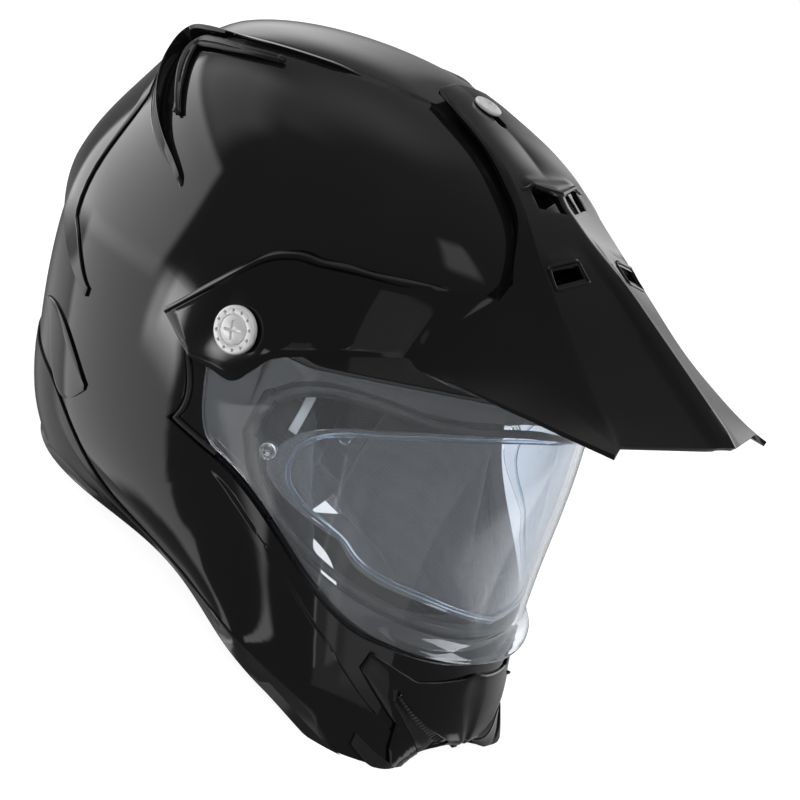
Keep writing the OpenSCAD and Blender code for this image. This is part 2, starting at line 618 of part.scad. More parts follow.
peak_steps = concat([for (k = [0 : 5]) k / 2], [2.85, slot_t, slot_end_t],
                    [for (k = [8 : 24]) k / 2]);
peak_grid = [for (t = peak_steps) let (r = rib(t), n = len(r))
  concat([for (k = [n - 1 : -1 : 1]) flip(r[k])], r)];
peak_mid = len(rib_places) - 1;
// Inward side of the wall, from the neighbours that belong to the same limb
function limb(i, j) = let (c = abs(j - peak_mid)) peak_steps[i] < bay_row ? 0 : c <= bay_col ? 1 : 2;
function peer(i, j, di, dj) =
  let (a = min(len(peak_grid) - 1, max(0, i + di)), b = min(2 * peak_mid, max(0, j + dj)))
  limb(i, j) > 0 && limb(a, b) > 0 && limb(a, b) != limb(i, j) ? peak_grid[i][j] : peak_grid[a][b];
function wall_normal(i, j) =
  unit(cross(peer(i, j, 1, 0) - peer(i, j, -1, 0), peer(i, j, 0, 1) - peer(i, j, 0, -1)));
screw_slot_l = 17;
screw_slot_w = 6.4;
module peak() {
  rows = len(peak_steps) - 1;
  row_of = function(t) search(t, peak_steps)[0];
  rail_rows = row_of(bay_row);
  strut_rows = row_of(strut_end);
  in_strut = function(j) j >= peak_mid - bay_col && j < peak_mid + bay_col;
  in_bay = function(j) j == peak_mid - bay_col - 1 || j == peak_mid + bay_col;
  keep = function(i, j) !(i >= rail_rows && in_bay(j)) && !(i >= strut_rows && in_strut(j))
    && !(i == row_of(slot_t) && abs(j + 0.5 - peak_mid) == 2.5)
    && !(i == row_of(vent_t) && abs(j + 0.5 - peak_mid) < 3 && abs(j + 0.5 - peak_mid) > 1);
  color([0.03, 0.03, 0.032])
  difference() {
    sheet(peak_grid,
          [for (i = [0 : rows]) [for (j = [0 : 2 * peak_mid])
            peak_grid[i][j] - peak_t * wall_normal(i, j)]], keep);
    pivot_bore();
    translate([0, screw_y, 0]) {
      cylinder(d = screw_slot_w, h = 2 * top_z, $fn = 48);
      translate([0, -screw_slot_l + screw_slot_w, 0])
        cylinder(d = screw_slot_w, h = 2 * top_z, $fn = 48);
      translate([-screw_slot_w / 2, -screw_slot_l + screw_slot_w, 0])
        cube([screw_slot_w, screw_slot_l - screw_slot_w, 2 * top_z]);
    }
  }
}

// Side knobs, with a rim of small holes and a domed middle, on their studs
rim_holes = 12;
rim_hole_r = 0.7;
washer_t = 0.8;
knob_foot = boss_top + 1.6;
module peak_knob() {
  color([0.8, 0.8, 0.82])
  along_x(knob_foot)
    difference() {
      union() {
        rotate_extrude($fn = 64)
          polygon([[0, 0], [knob_r - 0.6, 0], [knob_r, 0.6], [knob_r, knob_h - 1.9],
                   [knob_r - 0.8, knob_h - 1.2], [knob_r - 3.6, knob_h - 1.2],
                   [knob_r - 4, knob_h - 1.6], [knob_r - 4.4, knob_h - 0.8],
                   [knob_r * 0.35, knob_h - 0.1], [0, knob_h]]);
        translate([0, 0, boss_foot + 1.5 - knob_foot])
          cylinder(r = stud_r, h = knob_foot - boss_foot - 1, $fn = 48);
      }
      for (k = [0 : rim_holes - 1])
        rotate([0, 0, k * 360 / rim_holes]) translate([knob_r - 2.1, 0, knob_h - 2.8])
          cylinder(r = rim_hole_r, h = 3, $fn = 12);
      for (turn = [0, 90]) rotate([0, 0, turn])
        translate([-knob_r * 0.42, -0.6, knob_h - 1.1]) cube([knob_r * 0.84, 1.2, 2]);
    }
}
module peak_knob_right() { peak_knob(); }
module peak_knob_left() { mirror([1, 0, 0]) peak_knob(); }
module knob_washers() {
  color([0.05, 0.05, 0.055])
  for (side = [0, 1]) mirror([side, 0, 0])
    along_x(boss_top + 0.4)
      difference() {
        cylinder(r = knob_r - 0.8, h = washer_t, $fn = 48);
        translate([0, 0, -1]) cylinder(r = stud_r + running_gap, h = 4, $fn = 48);
      }
}

// Crown screw and the boss that it bites into
boss_crown_r = 8;
crown_z = top_z + 0.6;
strut_top = 6.2;
screw_seat = top_z + strut_top + 0.6;
module crown_boss() {
  color([0.05, 0.05, 0.055])
  translate([0, screw_y, crown_z])
    difference() {
      cylinder(r = boss_crown_r, h = strut_top - peak_t - 2.6, $fn = 64);
      translate([0, 0, 0.5]) cylinder(r = screw_r + running_gap, h = 9, $fn = 48);
    }
}
module top_screw() {
  color([0.8, 0.8, 0.82])
  translate([0, screw_y, screw_seat])
    difference() {
      union() {
        rotate_extrude($fn = 56)
          polygon([[0, 0], [screw_head_r - 0.5, 0], [screw_head_r, 0.5], [screw_head_r, 1.5],
                   [screw_head_r - 0.8, 2.1], [screw_head_r * 0.5, 2.6], [0, 2.8]]);
        translate([0, 0, crown_z + 1 - screw_seat])
          cylinder(r = screw_r, h = screw_seat - crown_z - 0.5, $fn = 48);
      }
      for (turn = [0, 90]) rotate([0, 0, turn])
        translate([-screw_head_r * 0.5, -0.6, 1.8]) cube([screw_head_r, 1.2, 2]);
    }
}

// Chin cover: faceted nose piece with a slanted slot on each side. Its lines run down from the
// top seam, as [bearing, climb] by row: middle crease, slot's two edges and outer edge
cover_lines = [
  [[0, 0.188], [0, 0.165], [0, 0.140], [0, 0.115], [0, 0.094], [0, 0.086]],
  [[22, 0.194], [20, 0.168], [15, 0.140], [10, 0.115], [5.5, 0.094], [4.5, 0.088]],
  [[26, 0.198], [20.5, 0.146], [16.5, 0.116], [12.5, 0.088], [9, 0.060], [8, 0.052]],
  [[31, 0.204], [31, 0.176], [18.5, 0.110], [18.5, 0.056], [15, 0.03], [12.5, 0.02]]];
cover_rise = [[2.2, 2.6, 3.0, 3.4, 3.4, 3.2], [2.0, 2.4, 2.8, 3.0, 3.0, 2.8],
              [2.0, 2.4, 2.8, 3.0, 3.2, 3.0], [1.9, 1.9, 2.0, 2.2, 2.4, 2.4]];
cover_places = mirrored([0, 0.33, 0.67, 1, 2, 2.5, 3]);
cover_rows = len(cover_lines[0]) - 1;
function across_lines(lines, place, i) =
  let (k = min(2, floor(abs(place))), f = abs(place) - k, n = min(cover_rows - 1, floor(i)),
       one = mix(lines[k][n], lines[k][n + 1], i - n),
       two = mix(lines[k + 1][n], lines[k + 1][n + 1], i - n))
  mix(one, two, f);
module cover_sheet(places, rows, near, far, keep) {
  layer = function(depth) [for (i = rows) [for (p = places)
    let (spot = across_lines(cover_lines, p, i))
    skin(p < 0 ? -spot[0] : spot[0], spot[1], depth(p, i))]];
  sheet(layer(near), layer(far), keep);
}
module chin_cover() {
  slot = function(i, j) i >= 1 && i <= 3 && (j == 2 || j == len(cover_places) - 4);
  color([0.03, 0.03, 0.035])
  cover_sheet(cover_places, [cover_rows : -1 : 0],
    function(p, i) -panel_gap - across_lines(cover_rise, p, i) + 0.6, function(p, i) -panel_gap,
    function(i, j) !slot(i, j));
}
// Panels that close the chin cover's slots from inside
module chin_vent_inserts() {
  color([0.06, 0.06, 0.065])
  for (side = [-1, 1])
    cover_sheet(side < 0 ? [-1.88, -1.12] : [1.12, 1.88], [3.9, 3, 2, 1.1],
      function(p, i) -panel_gap - 0.9, function(p, i) -panel_gap, function(i, j) true);
}

// Vent slider: a tongue under the chin cover with a thumb nub
slider_w = 9;
slider_travel = 5;
module chin_vent_slider() {
  tip = skin(0, 0.05, -seat_gap);
  color([0.03, 0.03, 0.035])
  translate([-slider_w / 2, tip[1] - 2.4, tip[2] + 0.2]) {
    cube([slider_w, 2.4, 3.4]);
    translate([slider_w / 2 - 2, -1.8, -1]) cube([4, 2.4, 3]);
  }
}

// Corner pieces that close the chin cover's lower ends
module chin_corner_trims() {
  color([0.03, 0.03, 0.035])
  for (side = [0, 1]) mirror([side, 0, 0])
    patch([21, 25, 29], 3, function(b) 0.022, function(b) mix(0.068, 0.04, (b - 21) / 8),
      function(b, climb, v) -panel_gap - 1.8 + 0.15 * abs(b - 24), function(b, climb, v) -panel_gap);
}

// Crown fin: a raised lip that sweeps up the side, turns round the vent and runs forward
fin_path = [[112, 0.537], [119, 0.549], [127, 0.555], [134, 0.564], [141, 0.580], [149, 0.600],
            [156, 0.622], [152, 0.660], [145, 0.713], [138, 0.770], [131, 0.829], [124, 0.890]];
fin_rise = 5;
fin_width = 12;
function fin_at(t) = along([for (p = fin_path) [p[0], p[1], 0]], t);
function fin_height(t) = fin_rise * smooth(t / 4) * smooth((11.2 - t) / 6);
fin_rows = 22;
module crown_fin() {
  steps = [for (k = [0 : fin_rows]) 11 * k / fin_rows];
  spot = function(t, away, depth)
    let (p = fin_at(t), q = fin_at(t + 0.05), r = fin_at(t - 0.05),
         here = skin(p[0], p[1], depth),
         run = unit(skin(q[0], q[1], depth) - skin(r[0], r[1], depth)),
         out = cross(run, outward(p[0], p[1])),
         aim = here + away * out)
    aim;
  row = function(away, high) [for (t = steps)
    let (p = fin_at(t), w = away * (0.35 + 0.65 * fin_height(t) / fin_rise))
    spot(t, w, 0.0032 * w * w - panel_gap - 0.9 - high * fin_height(t))];
  color([0.03, 0.03, 0.035])
  sheet([row(-fin_width, 0.05), row(-fin_width / 2, 0.5), row(0, 1)],
        [for (away = [-fin_width, -fin_width / 2, 0]) [for (t = steps)
          let (w = away * (0.35 + 0.65 * fin_height(t) / fin_rise))
          spot(t, w, 0.0032 * w * w - panel_gap)]]);
}
module crown_fin_right() { crown_fin(); }
module crown_fin_left() { mirror([1, 0, 0]) crown_fin(); }

// Crown vent: boomerang insert inside the fin's turn, with a slot along each leg
vent_path = [[130.5, 0.596], [137, 0.610], [144, 0.624], [149.5, 0.640], [145.5, 0.668],
             [139, 0.700], [133, 0.735]];
vent_w = 9;
module crown_vent() {
  steps = [for (k = [0 : 12]) k / 2];
  n = len(steps) - 1;
  spot = function(t) along([for (p = vent_path) [p[0], p[1], 0]], t);
  half = function(t) 1.2 + (vent_w / 2 - 1.2) * sin(180 * t / 6);
  place = function(t, side, depth)
    let (p = spot(t), q = spot(t + 0.05), r = spot(t - 0.05),
         run = unit(skin(q[0], q[1], depth) - skin(r[0], r[1], depth)))
    skin(p[0], p[1], depth) + side * half(t) * cross(run, outward(p[0], p[1]));
  row = function(side, depth) [for (t = steps) place(t, side, depth)];
  color([0.04, 0.04, 0.045])
  sheet([row(-1, -panel_gap - 2.4), row(-0.3, -panel_gap - 1.8), row(0.3, -panel_gap - 1.8),
         row(1, -panel_gap - 2.4)],
        [row(-1, -panel_gap), row(-0.3, -panel_gap), row(0.3, -panel_gap), row(1, -panel_gap)],
        function(i, j) !(i == 1 && (j >= 2 && j <= n - 3) && j != 5 && j != 6));
}
module crown_vent_right() { crown_vent(); }
module crown_vent_left() { mirror([1, 0, 0]) crown_vent(); }
vent_rivet_foot = 0.05;
module crown_vent_rivets() {
  color([0.03, 0.03, 0.035])
  for (side = [0, 1]) mirror([side, 0, 0])
    for (p = [vent_path[0] - [1.8, 0.006], vent_path[6] + [-1.6, 0.022]])
      let (n = outward(p[0], p[1]))
      translate(skin(p[0], p[1], vent_rivet_foot)) rotate([0, acos(n[2]), atan2(n[1], n[0])])
        cylinder(r1 = 2, r2 = 1.5, h = 3, $fn = 24);
}

// Rear spoiler: a lip across the back whose tips sweep forward
spoiler_start = 122;
function spoiler_low(b) = let (c = min(b, 360 - b)) mix(0.329, 0.415, smooth((c - 122) / 52));
function spoiler_high(b) = let (c = min(b, 360 - b))
  spoiler_low(b) + 0.012 + 0.023 * smooth((c - 122) / 12) + 0.15 * smooth((c - 136) / 9);
spoiler_reach = 3;
module rear_spoiler() {
  color([0.03, 0.03, 0.035])
  patch([for (k = [0 : 24]) mix(spoiler_start, 360 - spoiler_start, k / 24)], 8,
    function(b) spoiler_low(b), function(b) spoiler_high(b),
    function(b, climb, v) let (c = min(b, 360 - b))
      -panel_gap - 1.6 - (spoiler_reach - 1) * pow(1 - v, 2) * smooth((c - 112) / 50),
    function(b, climb, v) -panel_gap - 0.8);
}

// Rear outlet vents low on the back
module rear_vent() {
  color([0.04, 0.04, 0.045])
  patch(spread(115, 141, 6), 4,
    function(b) let (f = (b - 115) / 26) 0.232 - 0.055 * sin(180 * min(1, 1.25 * f)) + 0.018 * f,
    function(b) let (f = (b - 115) / 26) 0.240 + 0.034 * sin(150 * f),
    function(b, climb, v) -panel_gap - 0.8 - 2 * v, function(b, climb, v) -panel_gap);
}
module rear_vent_right() { rear_vent(); }
module rear_vent_left() { mirror([1, 0, 0]) rear_vent(); }

outer_shell();
shell_edge_trim();
eyeport_gasket();
eps_liner();
chin_eps();
crown_pad();
cheek_pad_left();
cheek_pad_right();
neck_roll();
chin_strap_left();
chin_strap_right();
strap_rivets();
d_ring_outer();
d_ring_inner();
breath_deflector();
side_plate_left();
side_plate_right();
pivot_boss_left();
pivot_boss_right();
visor();
anti_fog_lens();
lens_seal();
lens_pins();
peak();
peak_knob_left();
peak_knob_right();
knob_washers();
crown_boss();
top_screw();
chin_cover();
chin_vent_inserts();
chin_vent_slider();
chin_corner_trims();
crown_fin_left();
crown_fin_right();
crown_vent_left();
crown_vent_right();
crown_vent_rivets();
rear_spoiler();
rear_vent_left();
rear_vent_right();
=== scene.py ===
import math
import bpy
import numpy as np
from mathutils import Matrix, Vector


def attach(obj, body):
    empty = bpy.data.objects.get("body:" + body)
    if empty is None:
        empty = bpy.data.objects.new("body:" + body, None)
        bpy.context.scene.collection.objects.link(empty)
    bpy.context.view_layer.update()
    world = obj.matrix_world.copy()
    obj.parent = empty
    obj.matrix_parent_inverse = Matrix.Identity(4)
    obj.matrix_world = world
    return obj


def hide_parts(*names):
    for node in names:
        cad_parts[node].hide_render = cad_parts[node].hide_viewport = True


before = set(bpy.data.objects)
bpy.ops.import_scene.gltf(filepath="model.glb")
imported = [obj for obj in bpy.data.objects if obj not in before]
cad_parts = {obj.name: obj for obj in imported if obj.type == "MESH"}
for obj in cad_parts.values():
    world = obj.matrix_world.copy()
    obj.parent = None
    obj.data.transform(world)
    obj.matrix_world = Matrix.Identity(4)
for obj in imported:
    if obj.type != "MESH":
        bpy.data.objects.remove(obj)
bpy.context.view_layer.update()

scene = bpy.context.scene
bpy.ops.object.select_all(action="DESELECT")

# Sizes are in millimetres. A place on the helmet is a bearing (degrees from the front, positive
# to the rider's right), a climb (0 at the rim, 1 at the crown) and a depth under the outer skin.
helmet = {
    "width": 248, "height": 242, "chinReach": 156, "rearReach": 177, "rimLift": 12, "liftFade": 30,
    "trimDrop": 4,
    # the chin's rim: its middle is tucked back, and its corners reach forward and down
    "chinTuck": 10.0, "tuckTop": 0.10, "tuckEnd": 20, "cornerReach": 6.8, "cornerDrop": 8.6,
    "cornerTop": 0.11, "cornerStart": 5, "cornerEnd": 46,
    # height, half width, front, rear, widest place, squareness, egg shape, corner fullness
    "stations": [
        [0.000, 0.700, 0.998, 0.638, -0.10, 0.19, 0.03, -0.08],
        [0.033, 0.815, 0.990, 0.740, -0.05, 0.09, 0.00, -0.05],
        [0.165, 0.919, 0.897, 0.853, -0.01, 0.04, -0.02, -0.03],
        [0.331, 0.976, 0.808, 0.960, 0.01, 0.02, -0.05, -0.02],
        [0.496, 1.000, 0.763, 1.017, 0.03, -0.01, -0.09, -0.01],
        [0.657, 1.000, 0.710, 0.972, 0.05, -0.05, -0.12, -0.03],
        [0.802, 0.944, 0.596, 0.915, 0.08, -0.05, -0.12, 0.00],
        [0.909, 0.782, 0.436, 0.734, 0.09, -0.03, -0.12, 0.02],
        [0.975, 0.508, 0.218, 0.486, 0.10, 0.00, -0.09, 0.03],
        [1.000, 0.185, 0.010, 0.226, 0.10, 0.01, -0.07, 0.05],
    ],
}
halfWidth = helmet["width"] / 2
halfLength = (helmet["chinReach"] + helmet["rearReach"]) / 2
middleY = (helmet["rearReach"] - helmet["chinReach"]) / 2
topZ = helmet["trimDrop"] + helmet["height"]


def ease(x):
    t = np.clip(x, 0, 1)
    return t * t * (3 - 2 * t)


def mix(a, b, t):
    return a + (b - a) * t


def unit(v):
    return v / np.maximum(np.linalg.norm(v, axis=-1, keepdims=True), 1e-9)


def stationTable():
    rows = np.array(helmet["stations"], float)
    far = rows[::-1].copy()  # past the crown the skin goes on down the far side
    far[:, 1] *= -1
    far[:, 2], far[:, 3] = (-rows[::-1, 3] * helmet["rearReach"] / helmet["chinReach"],
                            -rows[::-1, 2] * helmet["chinReach"] / helmet["rearReach"])
    return np.vstack([2 * rows[0] - rows[1], rows, far[:4]])


stationRows = stationTable()


def skin(bearing, climb, depth=0.0):
    b, c, d = np.broadcast_arrays(*(np.asarray(v, float) for v in (bearing, climb, depth)))
    t = (len(helmet["stations"]) - 0.5) * np.clip(c, 0, 1)
    i = np.floor(t).astype(int)
    f = (t - i)[..., None]
    p, q, r, s = (stationRows[i + k] for k in range(4))
    w = (p * (1 - f) ** 3 + q * (3 * f ** 3 - 6 * f * f + 4)
         + r * (-3 * f ** 3 + 3 * f * f + 3 * f + 1) + s * f ** 3) / 6
    a = np.radians(b)
    z = w[..., 0] * helmet["height"]
    front, rear = -w[..., 2] * helmet["chinReach"], w[..., 3] * helmet["rearReach"]
    reach, mid = (rear - front) / 2, (rear + front) / 2
    shift = (mid - w[..., 4] * helmet["rearReach"]) / 2
    x = -w[..., 1] * halfWidth * (np.sin(a) + w[..., 5] * np.sin(3 * a)
                                  + w[..., 6] * np.sin(2 * a)) / (1 - w[..., 5])
    y = (mid - reach * np.cos(a) + shift * (np.cos(2 * a) - 1)
         + reach * w[..., 7] * (np.cos(3 * a) - np.cos(a)))
    lift = helmet["rimLift"] * np.exp(-z / helmet["liftFade"]) * np.sin(a) ** 2
    off = np.abs((b + 180) % 360 - 180)
    corner = (ease((helmet["cornerTop"] - c) / helmet["cornerTop"])
              * ease((off - helmet["cornerStart"]) / 9) * ease((helmet["cornerEnd"] - off) / 24))
    tuck = ease((helmet["tuckTop"] - c) / helmet["tuckTop"]) * ease((helmet["tuckEnd"] - off) / 12)
    y = y + helmet["chinTuck"] * tuck - helmet["cornerReach"] * corner
    return np.stack([x * (1 - d / halfWidth), middleY + (y - middleY) * (1 - d / halfLength),
                     helmet["trimDrop"] + (z + lift) * (1 - d / helmet["height"])
                     - helmet["cornerDrop"] * corner], -1)


def outward(b, c):
    return unit(np.cross(skin(b, np.asarray(c) + 0.004) - skin(b, np.asarray(c) - 0.004),
                         skin(np.asarray(b) + 0.5, c) - skin(np.asarray(b) - 0.5, c)))


def along(stops, t):  # smooth curve through the stops, one per whole t
    pts = np.asarray(stops, float)
    last = len(pts) - 1
    t = np.asarray(t, float)
    i = np.clip(np.floor(t).astype(int), 0, last - 1)
    f = np.minimum(1, t - i)[..., None]
    ends = np.vstack([2 * pts[0] - pts[1], pts, 2 * pts[-1] - pts[-2]])
    p, q, r, s = (ends[i + k] for k in range(4))
    return q + 0.5 * f * (r - p + f * (2 * p - 5 * q + 4 * r - s + f * (3 * (q - r) + s - p)))


# Building helpers: every mesh starts as a primitive and is shaped, and many take modifiers
def picked(piece):
    bpy.ops.object.select_all(action="DESELECT")
    piece.select_set(True)
    bpy.context.view_layer.objects.active = piece


def editing(piece, selectAll=True):
    picked(piece)
    bpy.ops.object.mode_set(mode="EDIT")
    bpy.ops.mesh.select_all(action="SELECT" if selectAll else "DESELECT")


def objectMode():
    bpy.ops.object.mode_set(mode="OBJECT")


def facingOut(piece):
    editing(piece)
    bpy.ops.mesh.normals_make_consistent(inside=False)
    objectMode()


def named(piece, name):
    piece.name = piece.data.name = name
    return piece


def gridPiece(name, points, drop=None):
    rows, cols = points.shape[:2]
    bpy.ops.mesh.primitive_grid_add(x_subdivisions=cols - 1, y_subdivisions=rows - 1)
    piece = named(bpy.context.object, name)
    piece.data.vertices.foreach_set("co", (points * 0.001).astype(np.float32).ravel())
    piece.data.update()
    if drop is not None and drop.any():
        editing(piece, False)
        objectMode()
        piece.data.polygons.foreach_set("select", drop.ravel())
        bpy.ops.object.mode_set(mode="EDIT")
        bpy.ops.mesh.delete(type="FACE")
        objectMode()
    return piece


def merged(piece, distance=1e-6):
    editing(piece)
    bpy.ops.mesh.remove_doubles(threshold=distance)
    objectMode()


def apply(piece, kind, **values):
    picked(piece)
    modifier = piece.modifiers.new(kind.title(), kind)
    for key, value in values.items():
        setattr(modifier, key, value)
    bpy.ops.object.modifier_apply(modifier=modifier.name)


def rounded(piece, width, segments=2, angle=35):
    apply(piece, "BEVEL", width=width * 0.001, segments=segments, limit_method="ANGLE",
          angle_limit=math.radians(angle), miter_outer="MITER_ARC")


def sheetPiece(name, points, thick, drop=None, ring=False, even=False):
    # a skin of the given thickness, grown inward from its outer face
    piece = gridPiece(name, points, drop)
    if ring:
        merged(piece)
    editing(piece)
    bpy.ops.mesh.flip_normals()
    objectMode()
    apply(piece, "SOLIDIFY", thickness=thick * 0.001, offset=-1, use_even_offset=even)
    facingOut(piece)
    return piece


def panel(name, b, low, high, depth, shares, thick, drop=None):
    # a sheet on the skin between two climbs; its depth (mm) may follow the share of the way up
    rows = [skin(b, mix(low, high, v), depth(v) if callable(depth) else depth) for v in shares]
    return sheetPiece(name, np.array(rows), thick, drop)


def loftPiece(name, loops, around=False):
    # closed loops of points, joined one to the next; around joins the last to the first
    loops = np.asarray(loops, float)
    loops = np.concatenate([loops, loops[:, :1]], 1)
    if around:
        loops = np.concatenate([loops, loops[:1]], 0)
    piece = gridPiece(name, loops)
    merged(piece)
    if not around:
        editing(piece, False)
        bpy.ops.mesh.select_non_manifold()
        bpy.ops.mesh.fill_holes(sides=0)
        objectMode()
    facingOut(piece)
    return piece


def pairLoops(outer, inner):
    # loops for loftPiece from two layers: out along one and back along the other
    return np.concatenate([outer, np.flip(inner, 1)], 1)


def mirrorCopy(piece, name):
    copy = piece.copy()
    copy.data = piece.data.copy()
    named(copy, name)
    scene.collection.objects.link(copy)
    copy.data.transform(Matrix.Scale(-1, 4, (1, 0, 0)))
    copy.data.flip_normals()
    return copy


def joined(pieces, name):
    picked(pieces[0])
    for piece in pieces:
        piece.select_set(True)
    bpy.ops.object.join()
    return named(pieces[0], name)


def turned(piece, place, towards, roll=0.0):
    # stands a piece made along +Z at a place (mm), with its top towards a direction
    spin = Vector(towards).to_track_quat("Z", "Y").to_matrix().to_4x4()
    piece.data.transform(Matrix.Translation(Vector(place) * 0.001) @ spin
                         @ Matrix.Rotation(roll, 4, "Z"))
    return piece


def lathe(name, profile, steps=96):
    # profile of (radius, height) in mm, spun round Z
    turns = [2 * math.pi * k / steps for k in range(steps + 1)]
    piece = gridPiece(name, np.array([[[r * math.cos(t), r * math.sin(t), h] for r, h in profile]
                                      for t in turns]))
    merged(piece)
    facingOut(piece)
    return piece


def carve(piece, cutters):
    for cutter in cutters:
        apply(piece, "BOOLEAN", operation="DIFFERENCE", object=cutter, solver="EXACT")
        bpy.data.objects.remove(cutter)


def drum(radius, low, high, sides=48):
    bpy.ops.mesh.primitive_cylinder_add(vertices=sides, radius=radius * 0.001,
                                        depth=(high - low) * 0.001)
    piece = bpy.context.object
    piece.data.transform(Matrix.Translation((0, 0, (low + high) * 0.0005)))
    return piece


def block(size, place, turn=0):
    # a box of the given size (mm) round a place, then turned about Z
    bpy.ops.mesh.primitive_cube_add(size=1)
    piece = bpy.context.object
    piece.data.transform(Matrix.Rotation(math.radians(turn), 4, "Z")
                         @ Matrix.Translation([v * 0.001 for v in place])
                         @ Matrix.Diagonal([v * 0.001 for v in size] + [1]))
    return piece


def finish(piece, material, body, *nodes, slot, angle=40):
    piece.data.materials.clear()
    piece.data.materials.append(material)
    picked(piece)
    bpy.ops.object.shade_smooth_by_angle(angle=math.radians(angle))
    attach(piece, body)
    if nodes:
        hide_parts(*nodes)
    return piece


def finishPair(piece, material, *nodes, slot, angle=40, body="helmet"):
    # finishes a right-hand piece, then its mirrored copy for the left
    finish(piece, material, body, *nodes, slot=slot, angle=angle)
    left = [node.replace("right", "left") for node in nodes]
    copy = mirrorCopy(piece, piece.name.replace("Right", "Left"))
    return finish(copy, material, body.replace("right", "left"), *left, slot=slot, angle=angle)


def both(piece, name):  # one piece from a right-hand piece and its mirrored copy
    return joined([piece, mirrorCopy(piece, name + "Left")], name)


def bearings(stops):
    # mirrored list of bearings from (end, step) stops
    half = [0.0]
    for end, step in stops:
        start = half[-1]
        count = max(1, round((end - start) / step))
        half += [start + (end - start) * (k + 1) / count for k in range(count)]
    half = np.array(half)
    return np.concatenate([-half[:0:-1], half])


# Materials
def shaderFor(name, color, rough, **sockets):
    material = bpy.data.materials.new(name)
    material.use_nodes = True
    tree = material.node_tree
    shader = tree.nodes["Principled BSDF"]
    shader.inputs["Base Color"].default_value = (*color, 1)
    shader.inputs["Roughness"].default_value = rough
    for key, value in sockets.items():
        shader.inputs[key.replace("_", " ")].default_value = value
    return material, tree, shader


def roughened(tree, shader, source, low, high):
    tree.links.new(spread(tree, source, low, high), shader.inputs["Roughness"])


def node(tree, kind, **values):
    made = tree.nodes.new(kind)
    for key, value in values.items():
        if hasattr(made, key):
            setattr(made, key, value)
        else:
            made.inputs[key.replace("_", " ")].default_value = value
    return made


def placed(tree, scale=(1, 1, 1), rotation=(0, 0, 0)):
    coords = tree.nodes.new("ShaderNodeTexCoord")
    mapping = tree.nodes.new("ShaderNodeMapping")
    mapping.inputs["Scale"].default_value = scale
    mapping.inputs["Rotation"].default_value = [math.radians(v) for v in rotation]
    tree.links.new(coords.outputs["Object"], mapping.inputs["Vector"])
    return mapping.outputs["Vector"]


def noise(tree, scale, detail, vector=None, rough=0.5):
    made = node(tree, "ShaderNodeTexNoise", Scale=scale, Detail=detail, Roughness=rough)
    tree.links.new(vector or placed(tree), made.inputs["Vector"])
    return made.outputs["Fac"]


def bands(tree, scale, rotation, distort=0.0):
    made = node(tree, "ShaderNodeTexWave", wave_type="BANDS", bands_direction="X",
                wave_profile="SIN", Scale=scale, Distortion=distort)
    tree.links.new(placed(tree, rotation=rotation), made.inputs["Vector"])
    return made.outputs["Fac"]


def spots(tree, scale, jitter):
    made = node(tree, "ShaderNodeTexVoronoi", feature="F1", Scale=scale, Randomness=jitter)
    tree.links.new(placed(tree), made.inputs["Vector"])
    return made.outputs["Distance"]


def spread(tree, source, low, high, at=(0.0, 1.0)):
    made = node(tree, "ShaderNodeMapRange")
    made.inputs["From Min"].default_value, made.inputs["From Max"].default_value = at
    made.inputs["To Min"].default_value, made.inputs["To Max"].default_value = low, high
    tree.links.new(source, made.inputs["Value"])
    return made.outputs["Result"]


def joinedBy(tree, operation, a, b):
    made = node(tree, "ShaderNodeMath", operation=operation)
    for k, source in enumerate((a, b)):
        if isinstance(source, (int, float)):
            made.inputs[k].default_value = source
        else:
            tree.links.new(source, made.inputs[k])
    return made.outputs["Value"]


def colored(tree, shader, factor, dark, light):
    ramp = tree.nodes.new("ShaderNodeValToRGB")
    ramp.color_ramp.elements[0].color = (*dark, 1)
    ramp.color_ramp.elements[1].color = (*light, 1)
    tree.links.new(factor, ramp.inputs["Fac"])
    tree.links.new(ramp.outputs["Color"], shader.inputs["Base Color"])


def bumped(tree, shader, height, strength, distance):
    bump = node(tree, "ShaderNodeBump")
    bump.inputs["Strength"].default_value = strength
    bump.inputs["Distance"].default_value = distance * 0.001
    tree.links.new(height, bump.inputs["Height"])
    tree.links.new(bump.outputs["Normal"], shader.inputs["Normal"])


def glossPaint(name="glossPaint", level=0.0032, rough=0.12, coat=0.01, shine=0.08):
    material, tree, shader = shaderFor(name, (level, level, level * 1.12), rough,
                                       Coat_Weight=1.0, Coat_Roughness=coat, IOR=1.5)
    shader.inputs["Specular IOR Level"].default_value = shine
    roughened(tree, shader, noise(tree, 35, 4), rough * 0.8, rough * 1.6)
    colored(tree, shader, noise(tree, 22, 3), (level * 0.75, level * 0.75, level * 0.86),
            (level * 1.3, level * 1.3, level * 1.48))
    return material


def satinPlastic(name, level, low, high, grain=0.12):
    material, tree, shader = shaderFor(name, (level, level, level * 1.05), low)
    roughened(tree, shader, noise(tree, 140, 4), low, high)
    colored(tree, shader, noise(tree, 60, 3), (level * 0.8,) * 3, (level * 1.25,) * 3)
    bumped(tree, shader, noise(tree, 1600, 2), grain, 0.05)
    return material


def softRubber():
    material, tree, shader = shaderFor("softRubber", (0.012, 0.012, 0.013), 0.42)
    roughened(tree, shader, noise(tree, 180, 4), 0.34, 0.52)
    colored(tree, shader, noise(tree, 80, 4), (0.009, 0.009, 0.0095), (0.018, 0.018, 0.019))
    bumped(tree, shader, noise(tree, 900, 3), 0.15, 0.08)
    return material


